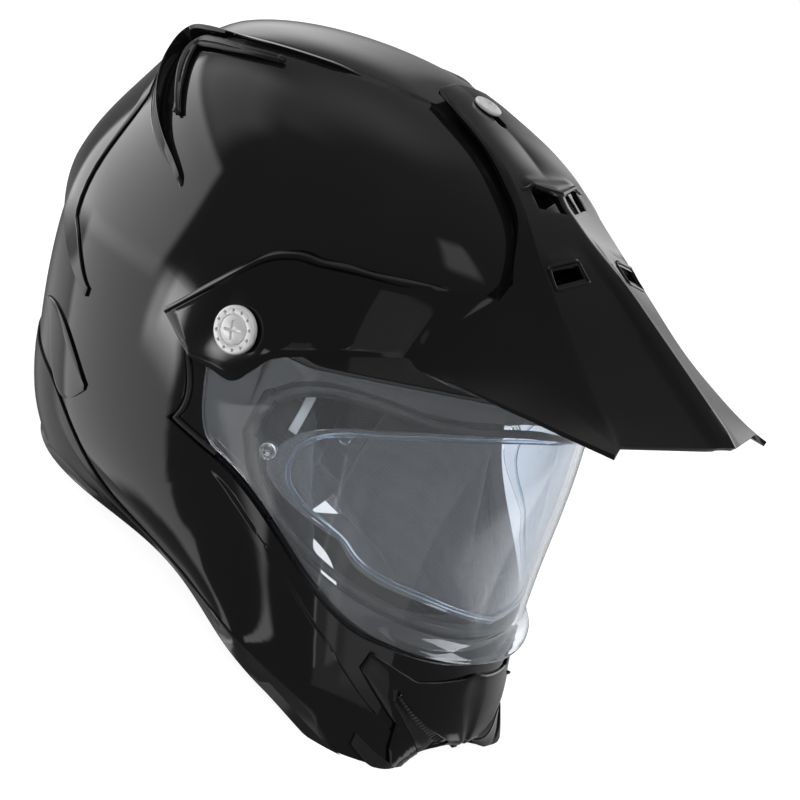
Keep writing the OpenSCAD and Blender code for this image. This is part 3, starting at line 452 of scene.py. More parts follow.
def clearPlastic(name, tint, rough, haze=0.0, ior=1.49):
    material, tree, shader = shaderFor(name, tint, rough, Transmission_Weight=1 - haze, IOR=ior)
    roughened(tree, shader, noise(tree, 25, 3), rough * 0.5, rough * 1.5)
    path = tree.nodes.new("ShaderNodeLightPath")
    through = tree.nodes.new("ShaderNodeBsdfTransparent")
    through.inputs["Color"].default_value = (0.93, 0.95, 0.97, 1)
    blend = tree.nodes.new("ShaderNodeMixShader")
    tree.links.new(path.outputs["Is Shadow Ray"], blend.inputs[0])
    tree.links.new(shader.outputs["BSDF"], blend.inputs[1])
    tree.links.new(through.outputs["BSDF"], blend.inputs[2])
    tree.links.new(blend.outputs["Shader"], tree.nodes["Material Output"].inputs["Surface"])
    return material


def knitMesh(name, level):
    # spacer mesh: small holes in rows, in slanting ribs; the holes and the troughs between ribs are
    # darkened in colour as painted shade
    material, tree, shader = shaderFor(name, (level,) * 3, 0.85, Sheen_Weight=0.12,
                                       Sheen_Roughness=0.4)
    holes = spread(tree, spots(tree, 480, 0.12), 0.0, 1.0, (0.15, 0.5))
    ribbing = spread(tree, bands(tree, 46, (0, 35, 0), 0.4), 0.35, 1.0)
    weaveAndShade = joinedBy(tree, "MULTIPLY", holes, ribbing)
    # painted shade: the colour is darkest in the holes and the rib troughs, where the bump sinks the mesh
    colored(tree, shader, weaveAndShade, (level * 0.3,) * 3, (level * 1.4, level * 1.45, level * 1.5))
    roughened(tree, shader, noise(tree, 300, 2), 0.75, 0.95)
    bumped(tree, shader, weaveAndShade, 0.35, 0.4)
    return material


def brushedLining(name, level):
    material, tree, shader = shaderFor(name, (level,) * 3, 0.9, Sheen_Weight=0.5,
                                       Sheen_Roughness=0.35)
    fibre = noise(tree, 1500, 4, placed(tree, (1, 1, 0.35)), 0.7)
    colored(tree, shader, fibre, (level * 0.5,) * 3, (level * 1.7,) * 3)
    roughened(tree, shader, noise(tree, 260, 2), 0.8, 0.98)
    bumped(tree, shader, fibre, 0.5, 0.3)
    return material


def beadFoam():
    material, tree, shader = shaderFor("beadFoam", (0.02, 0.02, 0.021), 0.75)
    beadsAndShade = spots(tree, 330, 0.9)
    # painted shade: the colour darkens from each bead's middle out to the hollows between beads
    colored(tree, shader, beadsAndShade, (0.014, 0.014, 0.015), (0.005, 0.005, 0.0055))
    roughened(tree, shader, noise(tree, 120, 3), 0.6, 0.85)
    bumped(tree, shader, spread(tree, beadsAndShade, 1.0, 0.0), 0.6, 0.4)
    return material


def wovenWebbing():
    material, tree, shader = shaderFor("wovenWebbing", (0.012,) * 3, 0.7, Sheen_Weight=0.3)
    cross = joinedBy(tree, "MULTIPLY", bands(tree, 210, (0, 0, 0)), bands(tree, 150, (0, 90, 0)))
    # painted shade: the colour is darkest in the hollows of the weave, where the bump sinks it
    colored(tree, shader, cross, (0.006,) * 3, (0.03, 0.03, 0.032))
    roughened(tree, shader, noise(tree, 400, 2), 0.6, 0.85)
    bumped(tree, shader, cross, 0.6, 0.35)
    return material


def turnedMetal(name, level, low, high, axis, metallic=1.0):
    # fine rings from turning round the given axis ("X" or "Z"), through the piece's own middle
    material, tree, shader = shaderFor(name, (level, level, level * 1.02), low, Metallic=metallic,
                                       Anisotropic=0.45)
    fine = noise(tree, 2600, 3, placed(tree, (0.15, 1, 1) if axis == "X" else (1, 1, 0.15)))
    roughened(tree, shader, fine, low, high)
    colored(tree, shader, noise(tree, 500, 4), (level * 0.86,) * 3, (level, level, level))
    bumped(tree, shader, fine, 0.12, 0.03)
    return material


gloss = glossPaint()
peakGloss = glossPaint("peakGloss", 0.0016, 0.18, 0.02, 0.1)
satin = satinPlastic("satinPlastic", 0.01, 0.22, 0.38)
matte = satinPlastic("mattePlastic", 0.014, 0.42, 0.6, 0.25)
trimBlack = satinPlastic("trimBlack", 0.012, 0.12, 0.22, 0.03)
plateBlack = satinPlastic("plateBlack", 0.006, 0.06, 0.12, 0.0)
rubber = softRubber()
visorClear = clearPlastic("visorClear", (0.83, 0.865, 0.91), 0.004, 0.005)
lensClear = clearPlastic("lensClear", (0.93, 0.955, 0.985), 0.01, 0.002)
beadClear = clearPlastic("beadClear", (0.72, 0.82, 0.93), 0.12, 0.0, 1.42)
pinClear = clearPlastic("pinClear", (0.93, 0.95, 0.97), 0.06)
meshFabric = knitMesh("meshFabric", 0.016)
liningFabric = brushedLining("liningFabric", 0.009)
rollFabric = brushedLining("rollFabric", 0.01)
gasketBlack = satinPlastic("gasketBlack", 0.004, 0.45, 0.6, 0.1)
foam = beadFoam()
webbing = wovenWebbing()
knobMetal = turnedMetal("knobMetal", 0.8, 0.3, 0.45, "X", 0.55)
screwMetal = turnedMetal("screwMetal", 0.78, 0.3, 0.45, "Z", 0.6)
ringSteel = turnedMetal("ringSteel", 0.7, 0.08, 0.18, "Z")
tabPlastic = satinPlastic("tabPlastic", 0.32, 0.35, 0.5)
print("materials made")


# Outer shell: dense skin with the eye port, the sunken visor seat and its curved rear edge
shellForm = {"wall": 3.5, "portBearing": 78, "portLift": 0.04, "seatNose": 3.0, "seatEar": 4.5,
             "seatEnd": 95.0, "seatTop": 0.598, "seatLift": 0.034, "seatEdge": 0.0052,
             "endEdge": 0.5, "lineRise": 0.7, "crownRise": 0.9,
             # bearing and climb of the crisp line along the chin
             "line": [(10, 0.055), (22, 0.104), (41, 0.188), (60, 0.25), (73, 0.283), (84, 0.30)]}


def portLift(b):  # the brow edge stands higher in the middle
    return shellForm["portLift"] * (1 - ease((np.abs(b) - 12) / 38))


def portMid(b):
    return (0.37 + 0.02 * np.minimum(1, np.abs(b) / shellForm["portBearing"]) ** 2
            + portLift(b) / 2)


def portHalf(b):
    share = np.minimum(1, np.abs(b) / shellForm["portBearing"])
    inside = np.maximum(0.03, 0.125 * (1 - share ** 4) ** 0.45) + portLift(b) / 2
    past = mix(0.03, 0.06, ease((np.abs(b) - shellForm["portBearing"]) / 20))
    return np.where(share < 1, inside, past)


def seatLine(b):
    return 0.215 + 0.09 * ease((np.abs(b) - 33) / 47)


def seatDepth(b):
    return mix(shellForm["seatNose"], shellForm["seatEar"], ease(np.abs(b) / 80))


def seatTop(b):
    return (shellForm["seatTop"] - 0.11 * ease((np.abs(b) - 82) / 13)
            + shellForm["seatLift"] * (1 - ease((np.abs(b) - 46) / 12)))


def seatFull(b):
    return seatTop(b) - 0.02 - 0.03 * ease((86 - np.abs(b)) / 6)


def seatBack(c):  # the seat's rear edge draws in to a point behind the side plate
    return np.minimum(shellForm["seatEnd"], 91.0 + 1500 * (c - 0.336) ** 2)


def seatWarp(b, c):
    pull = (shellForm["seatEnd"] - seatBack(c)) * ease((0.40 - c) / 0.02 + 1.2)
    return b - np.sign(b) * pull * np.exp(-((np.abs(b) - shellForm["seatEnd"]) / 8) ** 2)


def shellSink(b, c):  # b is the column's own bearing, before seatWarp
    low = ease((c - seatLine(b)) / shellForm["seatEdge"])
    high = ease((seatTop(b) - c) / (seatTop(b) - seatFull(b)))
    rear = ease((shellForm["seatEnd"] + 0.05 - np.abs(b)) / shellForm["endEdge"])
    return seatDepth(b) * low * high * rear


def crownStep(b, c):  # the crown between the fins stands slightly proud
    edge = 152 - 121.7 * (c - 0.66)
    return (shellForm["crownRise"] * ease((np.abs(b) - edge) / 3.5 + 0.5)
            * ease((c - 0.645) / 0.04) * ease((0.95 - c) / 0.04))


def lineClimb(b):
    return np.interp(np.abs(b), *zip(*shellForm["line"]))


def lineShare(b):  # the line's place between the rim and the seat
    return mix(np.clip(lineClimb(b) / seatLine(b), 0.2, 0.9), 0.6, ease((np.abs(b) - 80) / 14))


def characterLine(b, c):  # crisp step along the chin, from under the visor down to the cover
    on = ease((np.abs(b) - 14) / 8) * ease((80 - np.abs(b)) / 8)
    return on * ease((lineClimb(b) - c) / 0.0012 + 0.5)


shellCols = bearings([(88, 2), (92, 1), (94, 0.5), (94.4, 0.2), (95.2, 0.1), (96, 0.4), (98, 1),
                      (180, 1.5)])[:-1]
shellRows = (
    [("low", v) for v in [*np.linspace(0, 0.49, 13), 0.496, 0.504, *np.linspace(0.51, 0.965, 14),
                          0.98, 0.99, 0.996, 1.0]]
    + [("step", v) for v in (0.15, 0.3, 0.45, 0.6, 0.75, 0.9, 1.05, 1.5)]
    + [("seat", v) for v in np.linspace(0.1, 1, 6)]
    + [("port", v) for v in np.linspace(0, 1, 9)[1:]]
    + [("brow", v) for v in np.linspace(0, 1, 8)[1:]]
    + [("fade", v) for v in np.linspace(0, 1, 9)[1:]]
    + [("dome", v) for v in np.linspace(0, 1, 41)[1:]])


def shellClimb(kind, v, b):
    edge = seatLine(b) + 1.5 * shellForm["seatEdge"]
    low, high = portMid(b) - portHalf(b), portMid(b) + portHalf(b)
    share = lineShare(b)
    upTo = mix(share, 1, 2 * v - 1) if v > 0.5 else share * 2 * v
    return {"low": seatLine(b) * upTo, "step": seatLine(b) + shellForm["seatEdge"] * v,
            "seat": mix(edge, low, v), "port": mix(low, high, v),
            "brow": mix(high, seatFull(b), v), "fade": mix(seatFull(b), seatTop(b), v),
            "dome": mix(seatTop(b), 1, v)}[kind]


closedCols = np.append(shellCols, shellCols[0] + 360)
points, drop = [], []
for kind, v in shellRows:
    climb = shellClimb(kind, v, closedCols)
    sink = (shellSink(closedCols, climb) - shellForm["lineRise"] * characterLine(closedCols, climb)
            - crownStep((closedCols + 180) % 360 - 180, climb))
    points.append(skin(seatWarp(closedCols, climb), climb, sink))
    drop.append([kind == "port"] * len(closedCols))
points, drop = np.array(points), np.array(drop)
inPort = np.abs(closedCols) <= shellForm["portBearing"] + 0.01
gone = drop[1:, :-1] & inPort[:-1] & inPort[1:]
shell = sheetPiece("outerShell", points, shellForm["wall"], gone, ring=True)
rounded(shell, 0.7, 2, 60)
finish(shell, gloss, "helmet", "outer_shell", slot="shell_gloss", angle=50)
print("shell built")

# Edge trim: a lower band over the rim, taller at the nape
trimForm = {"wall": 1.2, "gap": 0.3, "grip": 0.05, "back": 0.19, "inner": 3.0, "round": 0.7}


def trimTop(b):
    a = np.abs(b)
    return np.maximum(0.002, mix(trimForm["grip"], trimForm["back"], ease((a - 92) / 40))
                      * ease((a - 31) / 5))


def trimLoop(b):
    gap, soft = trimForm["gap"], trimForm["round"]
    reach = gap + trimForm["wall"]
    level = unit(outward(b, 0) * (1, 1, 0))

    def over(c, away):
        return skin(b, c) + away * outward(b, c)

    def at(p, z):
        return np.array([p[0], p[1], z])

    rim, inner = skin(b, 0), skin(b, 0, shellForm["wall"])
    near, far, back, corner = over(0, gap), inner - gap * level, inner - reach * level, over(0, reach)
    lift = ease((min(abs(b), 180 - abs(b)) - 12) / 16)
    foot = (rim[2] - helmet["trimDrop"]) * lift
    rise = skin(b, seatLine(b) / 5, shellForm["wall"]) - inner
    share = min(1, trimForm["inner"] / rise[2])
    lean = min(0, share * float(rise @ level)) * level
    lowZ, highZ = min(rim[2], near[2]) - 0.5, inner[2] + share * rise[2]
    climbs = np.linspace(1, 0, 10) * float(trimTop(b))
    drawnIn = [0.5, 0.12] + [0] * 8
    return ([over(c, reach - d) for c, d in zip(climbs, drawnIn)]
            + [at(corner, foot + soft), at(corner, foot) - level * soft,
               at(back, foot) + level * soft, at(back, foot + soft), at(back + lean, highZ),
               at(far + lean, highZ), at(far, lowZ), at(near, lowZ)]
            + [over(c, gap) for c in climbs[::-1]])


trimBearings = bearings([(28, 2), (40, 1), (180, 2.5)])[:-1]
trim = loftPiece("edgeTrim", [trimLoop(float(b)) for b in trimBearings], around=True)
finish(trim, trimBlack, "helmet", "shell_edge_trim", slot="trim_rubber", angle=38)

# Rubber seal round the eye port
gasketForm = {"depth": 5.0, "height": 1.1, "shoulder": 0.35}
visorForm = {"wall": 2.2, "top": 0.552, "earRise": 0.028, "sink": 1.45, "lip": 5.0, "lipSpan": 40,
             "lowGap": 0.012, "earTurn": 0.151, "sideDrop": 0.08}


def visorLow(b):
    turnUp = (np.maximum(0, np.abs(b) - 79) / 13) ** 2.8
    return seatLine(b) + visorForm["lowGap"] + visorForm["earTurn"] * turnUp


def visorHigh(b):
    high = visorForm["top"] - visorForm["sideDrop"] * np.minimum(1, np.abs(b) / 71) ** 2
    return high + visorForm["earRise"] * np.exp(-((np.abs(b) - 85.5) / 4.5) ** 2)


def visorDepth(b):
    return mix(0.0, visorForm["sink"], ease((np.abs(b) - 45) / 39))


def gasketLoop(b, side):
    at = b * (1 - 0.08 / 3)
    top, low = visorDepth(at) + 1.0, seatDepth(at) + gasketForm["depth"]
    flank, shoulder = top + gasketForm["height"], top + gasketForm["shoulder"]
    stops = [(0.052, low), (0.05, flank), (0.056, shoulder), (0.07, top), (0.1, top),
             (0.114, shoulder), (0.12, flank), (0.122, low)]
    return [skin(b * (1 - share / 3), portMid(b) + side * portHalf(b) * (1 - share), depth)
            for share, depth in stops]


portB = shellForm["portBearing"] * np.sin(np.linspace(-math.pi / 2, math.pi / 2, 90))
gasket = loftPiece("portGasket", [gasketLoop(b, -1) for b in portB[:-1]]
                   + [gasketLoop(b, 1) for b in portB[:0:-1]], around=True)
finish(gasket, gasketBlack, "helmet", "eyeport_gasket", slot="seal_rubber")

# Panels are flat round the pivots
pivot = {"y": -4.0, "z": 141.0, "bearing": 90.5, "climb": 0.468, "flat": 11.0, "fade": 24.0,
         "bore": 7.56}


def pivotX(depth):
    return -skin(pivot["bearing"], pivot["climb"], depth)[0]


def flattened(p, depth):
    away = np.hypot(p[..., 1] - pivot["y"], p[..., 2] - pivot["z"])
    w = ease((pivot["flat"] + pivot["fade"] - away) / pivot["fade"])
    level = -skin(pivot["bearing"], pivot["climb"], depth)[..., 0]
    x = np.abs(p[..., 0])
    made = p.copy()
    made[..., 0] = np.sign(p[..., 0]) * np.maximum(x, mix(x, level, w))
    return made


# Side plates: they fill the seat behind the visor, with a rubber bead along their rear edge
plateForm = {"wall": 1.6, "gap": 0.3, "start": 79, "end": 94, "beadRadius": 1.3, "beadDepth": 1.9}
plateB = np.linspace(plateForm["start"], plateForm["end"], 26)
plateRows = []
for v in np.linspace(0, 1, 40):
    low = seatLine(plateB) + 0.010 + 0.02 * ease((84 - plateB) / 5)
    climb = mix(low, seatFull(plateB) - 0.006, v)
    full = ease((seatTop(plateB) - climb) / (seatTop(plateB) - seatFull(plateB)))
    depth = seatDepth(plateB) * full - plateForm["gap"] - plateForm["wall"]
    plateRows.append(flattened(skin(seatWarp(plateB, climb), climb, depth), depth))
plate = sheetPiece("sidePlateRight", np.array(plateRows), plateForm["wall"])
rounded(plate, 0.35, 2, 50)
finishPair(plate, plateBlack, "side_plate_right", slot="matte_black")


def tubeLoops(center, side, up, radius, sides=10):
    turns = np.linspace(0, 2 * math.pi, sides, endpoint=False)
    return np.array([[c + radius * (math.cos(t) * s + math.sin(t) * u) for t in turns]
                     for c, s, u in zip(center, side, up)])


def ringRun(center):  # direction of travel along a closed run of points
    return unit(np.roll(center, -1, 0) - np.roll(center, 1, 0))


beadB = np.concatenate([np.full(40, 94.35), np.linspace(94.2, 80, 26)])
beadC = np.concatenate([np.linspace(0.47, 0.318, 40), seatLine(beadB[40:]) + 0.0075])
beadCenter = skin(seatWarp(beadB, beadC), beadC, plateForm["beadDepth"])
beadUp = outward(beadB, beadC)
beadRun = unit(np.gradient(beadCenter, axis=0))
beadSide = unit(np.cross(beadRun, beadUp))
bead = loftPiece("plateBeadRight", tubeLoops(beadCenter, beadSide, np.cross(beadSide, beadRun),
                                             plateForm["beadRadius"]))
finishPair(bead, rubber, slot="seal_rubber")

# Visor: clear shield with a rolled lower lip, ears and bores
visorB = bearings([(60, 2), (78, 1.5), (92, 0.7)])
visorRows = []
for v in [0, 0.008, 0.02, 0.035, 0.05, 0.07, 0.09, *np.linspace(0.12, 1, 26)]:
    climb = mix(visorLow(visorB), visorHigh(visorB), v)
    roll = ease((visorForm["lipSpan"] - np.abs(visorB)) / 14) * ease(1 - v / 0.075)
    depth = visorDepth(visorB) - visorForm["wall"] - visorForm["lip"] * roll
    visorRows.append(flattened(skin(visorB, climb, depth), depth))
visor = sheetPiece("visorShield", np.array(visorRows), visorForm["wall"])
rounded(visor, 0.5, 3, 50)
pinSpot = {"bearing": 71, "climb": 0.36, "radius": 2.5}


def onVisor(piece, side, b, climb):  # stands a piece on the visor's inner face
    return turned(piece, skin(b, climb, visorDepth(b)) * (side, 1, 1), outward(b, climb) * (side, 1, 1))


def atPin(piece, side):
    return onVisor(piece, side, pinSpot["bearing"], pinSpot["climb"])


def atPivot(piece, side, x):
    return turned(piece, (-side * x, pivot["y"], pivot["z"]), (-side, 0, 0))


def pivotBore(side):
    return atPivot(drum(pivot["bore"], -8, 30, 64), side, pivotX(0) - 8)


for side in (1, -1):
    carve(visor, [pivotBore(side), atPin(drum(pinSpot["radius"] + 0.06, -6, 8), side)])
finish(visor, visorClear, "visor_unit", "visor", slot="visor_clear", angle=35)

# Anti-fog lens with lobed, notched ends, its bead and pins
lensForm = {
    "upper": [[0, 0.528], [15, 0.521], [27, 0.507], [43, 0.477], [53, 0.453], [60, 0.434],
              [65, 0.414], [68, 0.394], [69.8, 0.372], [70.6, 0.350]],
    "lower": [[0, 0.268], [22, 0.283], [36, 0.286], [43, 0.293], [46.5, 0.304], [49, 0.3115],
              [53, 0.3125], [61, 0.318], [66, 0.3255], [69, 0.336], [70.6, 0.350]],
    "beadUpper": [[0, 0.520], [15, 0.513], [27, 0.499], [43, 0.469], [53, 0.444], [60, 0.425],
                  [64, 0.407], [66.2, 0.385], [66.3, 0.370]],
    "beadLower": [[0, 0.276], [22, 0.291], [36, 0.295], [43, 0.3025], [48, 0.3155], [53, 0.3215],
                  [59, 0.327], [63.5, 0.338], [65.6, 0.353], [66.3, 0.370]],
    "wall": 1.2, "seat": 0.8, "gap": 0.6,
}


def outline(key, b):
    path = np.array(lensForm[key], float)
    dense = along(path, np.linspace(0, len(path) - 1, 400))
    return np.interp(np.abs(b), dense[:, 0], dense[:, 1])


lensB = lensForm["upper"][-1][0] * np.sin(np.linspace(-math.pi / 2, math.pi / 2, 141))
lensDepth = visorDepth(lensB) + lensForm["seat"] + 2 * lensForm["gap"]
lensLow = outline("lower", lensB)
lensTop = np.maximum(outline("upper", lensB), lensLow + 0.0006)
lens = panel("antiFogLens", lensB, lensLow, lensTop, lensDepth, np.linspace(0, 1, 25),
             lensForm["wall"])
rounded(lens, 0.25, 2, 50)
for side in (1, -1):
    notches = [onVisor(drum(1.5, -8, 8, 12), side, b, c) for b, c in ((71.0, 0.352), (70.3, 0.3385))]
    carve(lens, notches + [atPin(drum(pinSpot["radius"] + 0.5, -8, 8), side)])
finish(lens, lensClear, "visor_unit", "anti_fog_lens", slot="lens_clear")


def sealRun():  # bearings and climbs round the bead, evenly spaced
    low, high = (along(lensForm[key], np.linspace(0, len(lensForm[key]) - 1, 60))
                 for key in ("beadLower", "beadUpper"))
    half = np.concatenate([low, high[-2::-1]])
    return np.concatenate([half, half[-2:0:-1] * (-1, 1)]).T


sealB, sealC = sealRun()
sealPoints = skin(sealB, sealC, visorDepth(sealB) + lensForm["gap"] + 0.4)
sealUp = outward(sealB, sealC)
sealSide = unit(np.cross(ringRun(sealPoints), sealUp))
seal = loftPiece("lensBead", tubeLoops(sealPoints, sealSide * 2.2, sealUp * 0.75, 0.5, 8), around=True)
finish(seal, beadClear, "visor_unit", "lens_seal", slot="lens_bead")

pinForm = [(0, -2.6), (2.5, -2.6), (2.5, 2.9), (3.5, 2.9), (3.9, 3.3), (3.6, 3.8), (2.2, 3.9),
           (1.9, 3.6), (0.9, 3.6), (0.6, 4.0), (0, 4.0)]
backForm = [(0, -3.4), (3.4, -3.4), (3.5, -3.0), (3.2, -2.45), (0, -2.45)]
pins = [atPin(lathe("pin", profile, 48), side) for side in (1, -1) for profile in (pinForm, backForm)]
finish(joined(pins, "lensPins"), pinClear, "visor_unit", "lens_pins", slot="pin_clear")
print("visor unit built")

# Peak: rails from the front edge back; the arms' rails are bearing and climb on the skin
armOuter = 5.0
screwY = 21


def onArm(b, c, sink=0.0):
    depth = -armOuter - 5.8 * ease((82 - b) / 16) + sink
    return flattened(skin(b, c, depth), depth)


def strutPoint(y, above):
    return [0, y, topZ + above]


peakForm = {
    "wall": 2.6,
    "ridge": [[0, -177, 212], [0, -150, 218.5], [0, -118, 226], [0, -86, 233.5], [0, -60, 239],
              strutPoint(-42, -3), strutPoint(-22, 1), strutPoint(-4, 4.2), strutPoint(10, 5.6),
              strutPoint(21, 6.2), strutPoint(32, 6.2), strutPoint(42, 5.4)],
    "crease": [[-66.5, -158, 201.6], [-61, -140, 204.5], [-53, -112, 211.5], [-46, -84, 222],
               [-40, -60, 231.5]],
    "creaseStrut": [[33, 0.796], [38, 0.854], [50, 0.902], [69, 0.932], [89, 0.944], [109, 0.946],
                    [131, 0.942]],
    "bay": [[-70, -159.5, 200.8], [-66, -140.5, 201.5], [-62, -113, 204.5], [-58, -86, 209.5],
            [-52, -65, 216.5]],
    "bayStrut": [[37, 0.786], [42, 0.846], [52, 0.894], [69, 0.924], [85, 0.936], [103, 0.942],
                 [124, 0.942]],
    "armTop": [[-71.5, -160, 200.4], [-69.5, -140, 199], [-68, -114, 199.5], [-66, -88, 202.5],
               [-61, -68, 209]],
    "armHigh": [[55, 0.632], [65, 0.608], [73, 0.595], [79, 0.584], [84, 0.574], [89, 0.545],
                [95, 0.478], [101, 0.408]],
    "lower": [[-75.5, -161.5, 199.4], [-80.5, -139, 193], [-86, -115, 186.5], [-90.5, -90, 178.5],
              [-92, -70, 171.5]],
    "armLow": [[57, 0.530], [66, 0.500], [72, 0.479], [77, 0.458], [80, 0.428], [83, 0.402],
               [88, 0.395], [93, 0.388]],
    "rimDrop": 1.5, "dome": 2.4, "wedge": 1.8, "lip": 1.6, "hump": 1.1,
}


def rail(front, rear, place):  # points of the front part, then places on the skin
    return np.vstack([peakForm[front], [place(b, c) for b, c in peakForm[rear]]])


ridgeRail = peakForm["ridge"]
creaseRail = rail("crease", "creaseStrut", lambda b, c: skin(b, c, -armOuter - 1.2))
bayRail = rail("bay", "bayStrut", lambda b, c: skin(b, c, -armOuter))
topRail = rail("armTop", "armHigh", onArm)
lowRail = rail("lower", "armLow", onArm)
strutShares = [0, 0.05, 0.1, 0.15, 0.18, 0.25, 0.34, 0.46, 0.55, 0.64, 0.73, 0.82, 0.9, 0.96, 1]
bayShares = [0.5, 1]
armShares = [0.025, 0.055, 0.085, 0.16, 0.26, 0.36, 0.46, 0.56, 0.66, 0.76, 0.85, 0.915, 0.945,
             0.975, 1]
bayCol = len(strutShares) + 1
peakT = np.concatenate([[0, 0.03], np.arange(0.125, 11.85, 0.125), [11.86, 11.93, 12]])
vent = {"start": 4.72, "end": 5.28, "inner": 0.1, "outer": 0.64}
sideSlot = {"start": 3.24, "end": 3.51, "inner": 0.46, "outer": 0.9}


def strutDome(t, f):
    # rounds the centre, raises the wedge ahead of the vent and the lip behind each opening
    dome = f * (1 - f) * ease((t - 4) / 3)
    wedge = ease((4.2 - t) / 1.6) * ease(t / 0.6 + 0.4) * ease((0.19 - f) / 0.06)
    lip = ease(1 - abs(t - 5.45) / 0.5) * ease((0.7 - f) / 0.1)
    hump = ease(1 - abs(t - 3.62) / 0.3) * ease((f - 0.4) / 0.08) * ease((0.97 - f) / 0.08)
    return (peakForm["dome"] * dome + peakForm["wedge"] * wedge + peakForm["lip"] * lip
            + peakForm["hump"] * hump)


def peakTop(t0, f):  # the rows bend forward in the middle round the centre vent
    t = min(11.0, t0 + 0.42 * min(f / 0.6, 1.0) * math.exp(-((t0 - 5) / 0.7) ** 2))
    return mix(along(ridgeRail, t), along(creaseRail, t), f) + [0, 0, strutDome(t0, f)]


def peakRow(t0):
    end = min(t0, 11.0)
    row = [peakTop(t0, f) for f in strutShares]
    edge, seat = along(creaseRail, end), along(bayRail, end)
    row += [mix(edge, seat, f) for f in bayShares]
    top, low = along(topRail, t0), along(lowRail, t0)
    row += [mix(seat, top, f) for f in bayShares]
    tail = ease((t0 - 11.85) / 0.15)
    for f in armShares:
        rim = max(ease((0.07 - f) / 0.06), ease((f - 0.93) / 0.06), tail) * ease((t0 - 4.5) / 2)
        if t0 >= 5:
            w = mix(along(peakForm["armHigh"], t0 - 5), along(peakForm["armLow"], t0 - 5), f)
            row.append(onArm(w[0], w[1], peakForm["rimDrop"] * rim))
        else:
            bulge = 4 * f * (1 - f) * ease(t0 - 3) * np.array([-2, -0.5, 1.0])
            row.append(mix(top, low, f) + bulge)
    return row


half = np.array([peakRow(float(t)) for t in peakT])
peakPoints = np.concatenate([half[:, :0:-1] * [-1, 1, 1], half], 1)
colMid = half.shape[1] - 1
cellCol = np.abs(np.arange(peakPoints.shape[1] - 1) + 0.5 - colMid)
cellRow = (peakT[:-1] + peakT[1:]) / 2
shares = np.array(strutShares + [2] * 20)
cellShare = (shares[np.floor(cellCol).astype(int).clip(0, 30)]
             + shares[(np.floor(cellCol) + 1).astype(int).clip(0, 30)]) / 2
row, col = np.meshgrid(cellRow, cellCol, indexing="ij")
gone = ((row > 4) & (col > bayCol) & (col < bayCol + 2)) | ((row > 11) & (col < bayCol))
for hole in (vent, sideSlot):
    gone |= ((row > hole["start"]) & (row < hole["end"]) & (cellShare > hole["inner"])
             & (cellShare < hole["outer"]))
peak = sheetPiece("peakShell", peakPoints, peakForm["wall"], gone)
screwSlot = {"width": 6.4, "rear": screwY, "front": 10.4}
length = screwSlot["rear"] - screwSlot["front"]
cutters = [pivotBore(side) for side in (1, -1)]
cutters += [turned(drum(screwSlot["width"] / 2, 0, 300), (0, y, 0), (0, 0, 1))
            for y in (screwSlot["rear"], screwSlot["front"])]
cutters.append(block((screwSlot["width"], length, 300), (0, screwSlot["front"] + length / 2, 250)))
carve(peak, cutters)
rounded(peak, 0.55, 3, 28)
finish(peak, peakGloss, "peak_unit", "peak", slot="shell_gloss", angle=35)


# Raised lips round the side slots and along the rear edge of the centre vent
lipForm = {"side": 1.0, "rise": 0.75, "start": 3.16, "end": 3.58, "inner": 0.42, "outer": 0.93,
           "reach": 0.86, "thick": 1.4,
           # how far behind the vent's edge, and how high, each line of its lip runs
           "band": [(0.17, 0), (0.12, 0.8), (0.03, 1.5), (-0.03, 1.2)]}


def slotFrame():
    t0, t1, f0, f1 = (lipForm[key] for key in ("start", "end", "inner", "outer"))
    corners = np.array([(t0, f0), (t1, f0), (t1, f1), (t0, f1)])
    stops = [mix(p, q, v) for p, q in zip(corners, np.roll(corners, -1, 0))
             for v in np.linspace(0.06, 0.94, 10)]
    return np.array([peakTop(*stop) for stop in stops])


framePath = slotFrame()
lipUp = unit(np.cross(framePath[8] - framePath[0], framePath[12] - framePath[8]))
lipUp = np.tile(lipUp * np.sign(lipUp[2]), (len(framePath), 1))
lipSide = unit(np.cross(ringRun(framePath), lipUp))
frameRight = loftPiece("slotFrameRight", tubeLoops(framePath, lipSide * lipForm["side"],
                                                   lipUp * lipForm["rise"], 1.0, 8), around=True)
chevron = []
for f in np.linspace(-lipForm["reach"], lipForm["reach"], 41):
    fade = ease((lipForm["reach"] - abs(f)) / 0.16)
    band = np.array([peakTop(vent["end"] + back, abs(f)) + [0, 0, 0.1 + rise * fade]
                     for back, rise in lipForm["band"]])
    loop = np.concatenate([band, band[::-1] - [0, 0, lipForm["thick"]]])
    chevron.append(loop * [math.copysign(1, -f), 1, 1])
ventLip = loftPiece("ventLip", chevron)
lips = joined([frameRight, mirrorCopy(frameRight, "slotFrameLeft"), ventLip], "peakLips")
finish(lips, peakGloss, "peak_unit", slot="shell_gloss", angle=35)
print("peak built")

# Side knobs: a flat rim with small holes and a domed middle with a cross slot
knobForm = {"holes": 12, "holeRadius": 0.75, "holeRing": 8.9, "holeTurn": 8, "stud": 3.0,
            "soften": 0.12, "turn": 28,
            # length, width, floor and top of the cross slot
            "cross": (9.0, 1.25, 3.55, 6)}
bossTop = pivotX(-armOuter) + 0.2
bossFoot = pivotX(shellForm["seatEar"] - plateForm["gap"] - plateForm["wall"]) + 0.3
knobFoot = bossTop + 1.6


def crossSlot(length, width, low, high):
    return [block((length, width, high - low), (0, 0, (low + high) / 2), turn) for turn in (0, 90)]


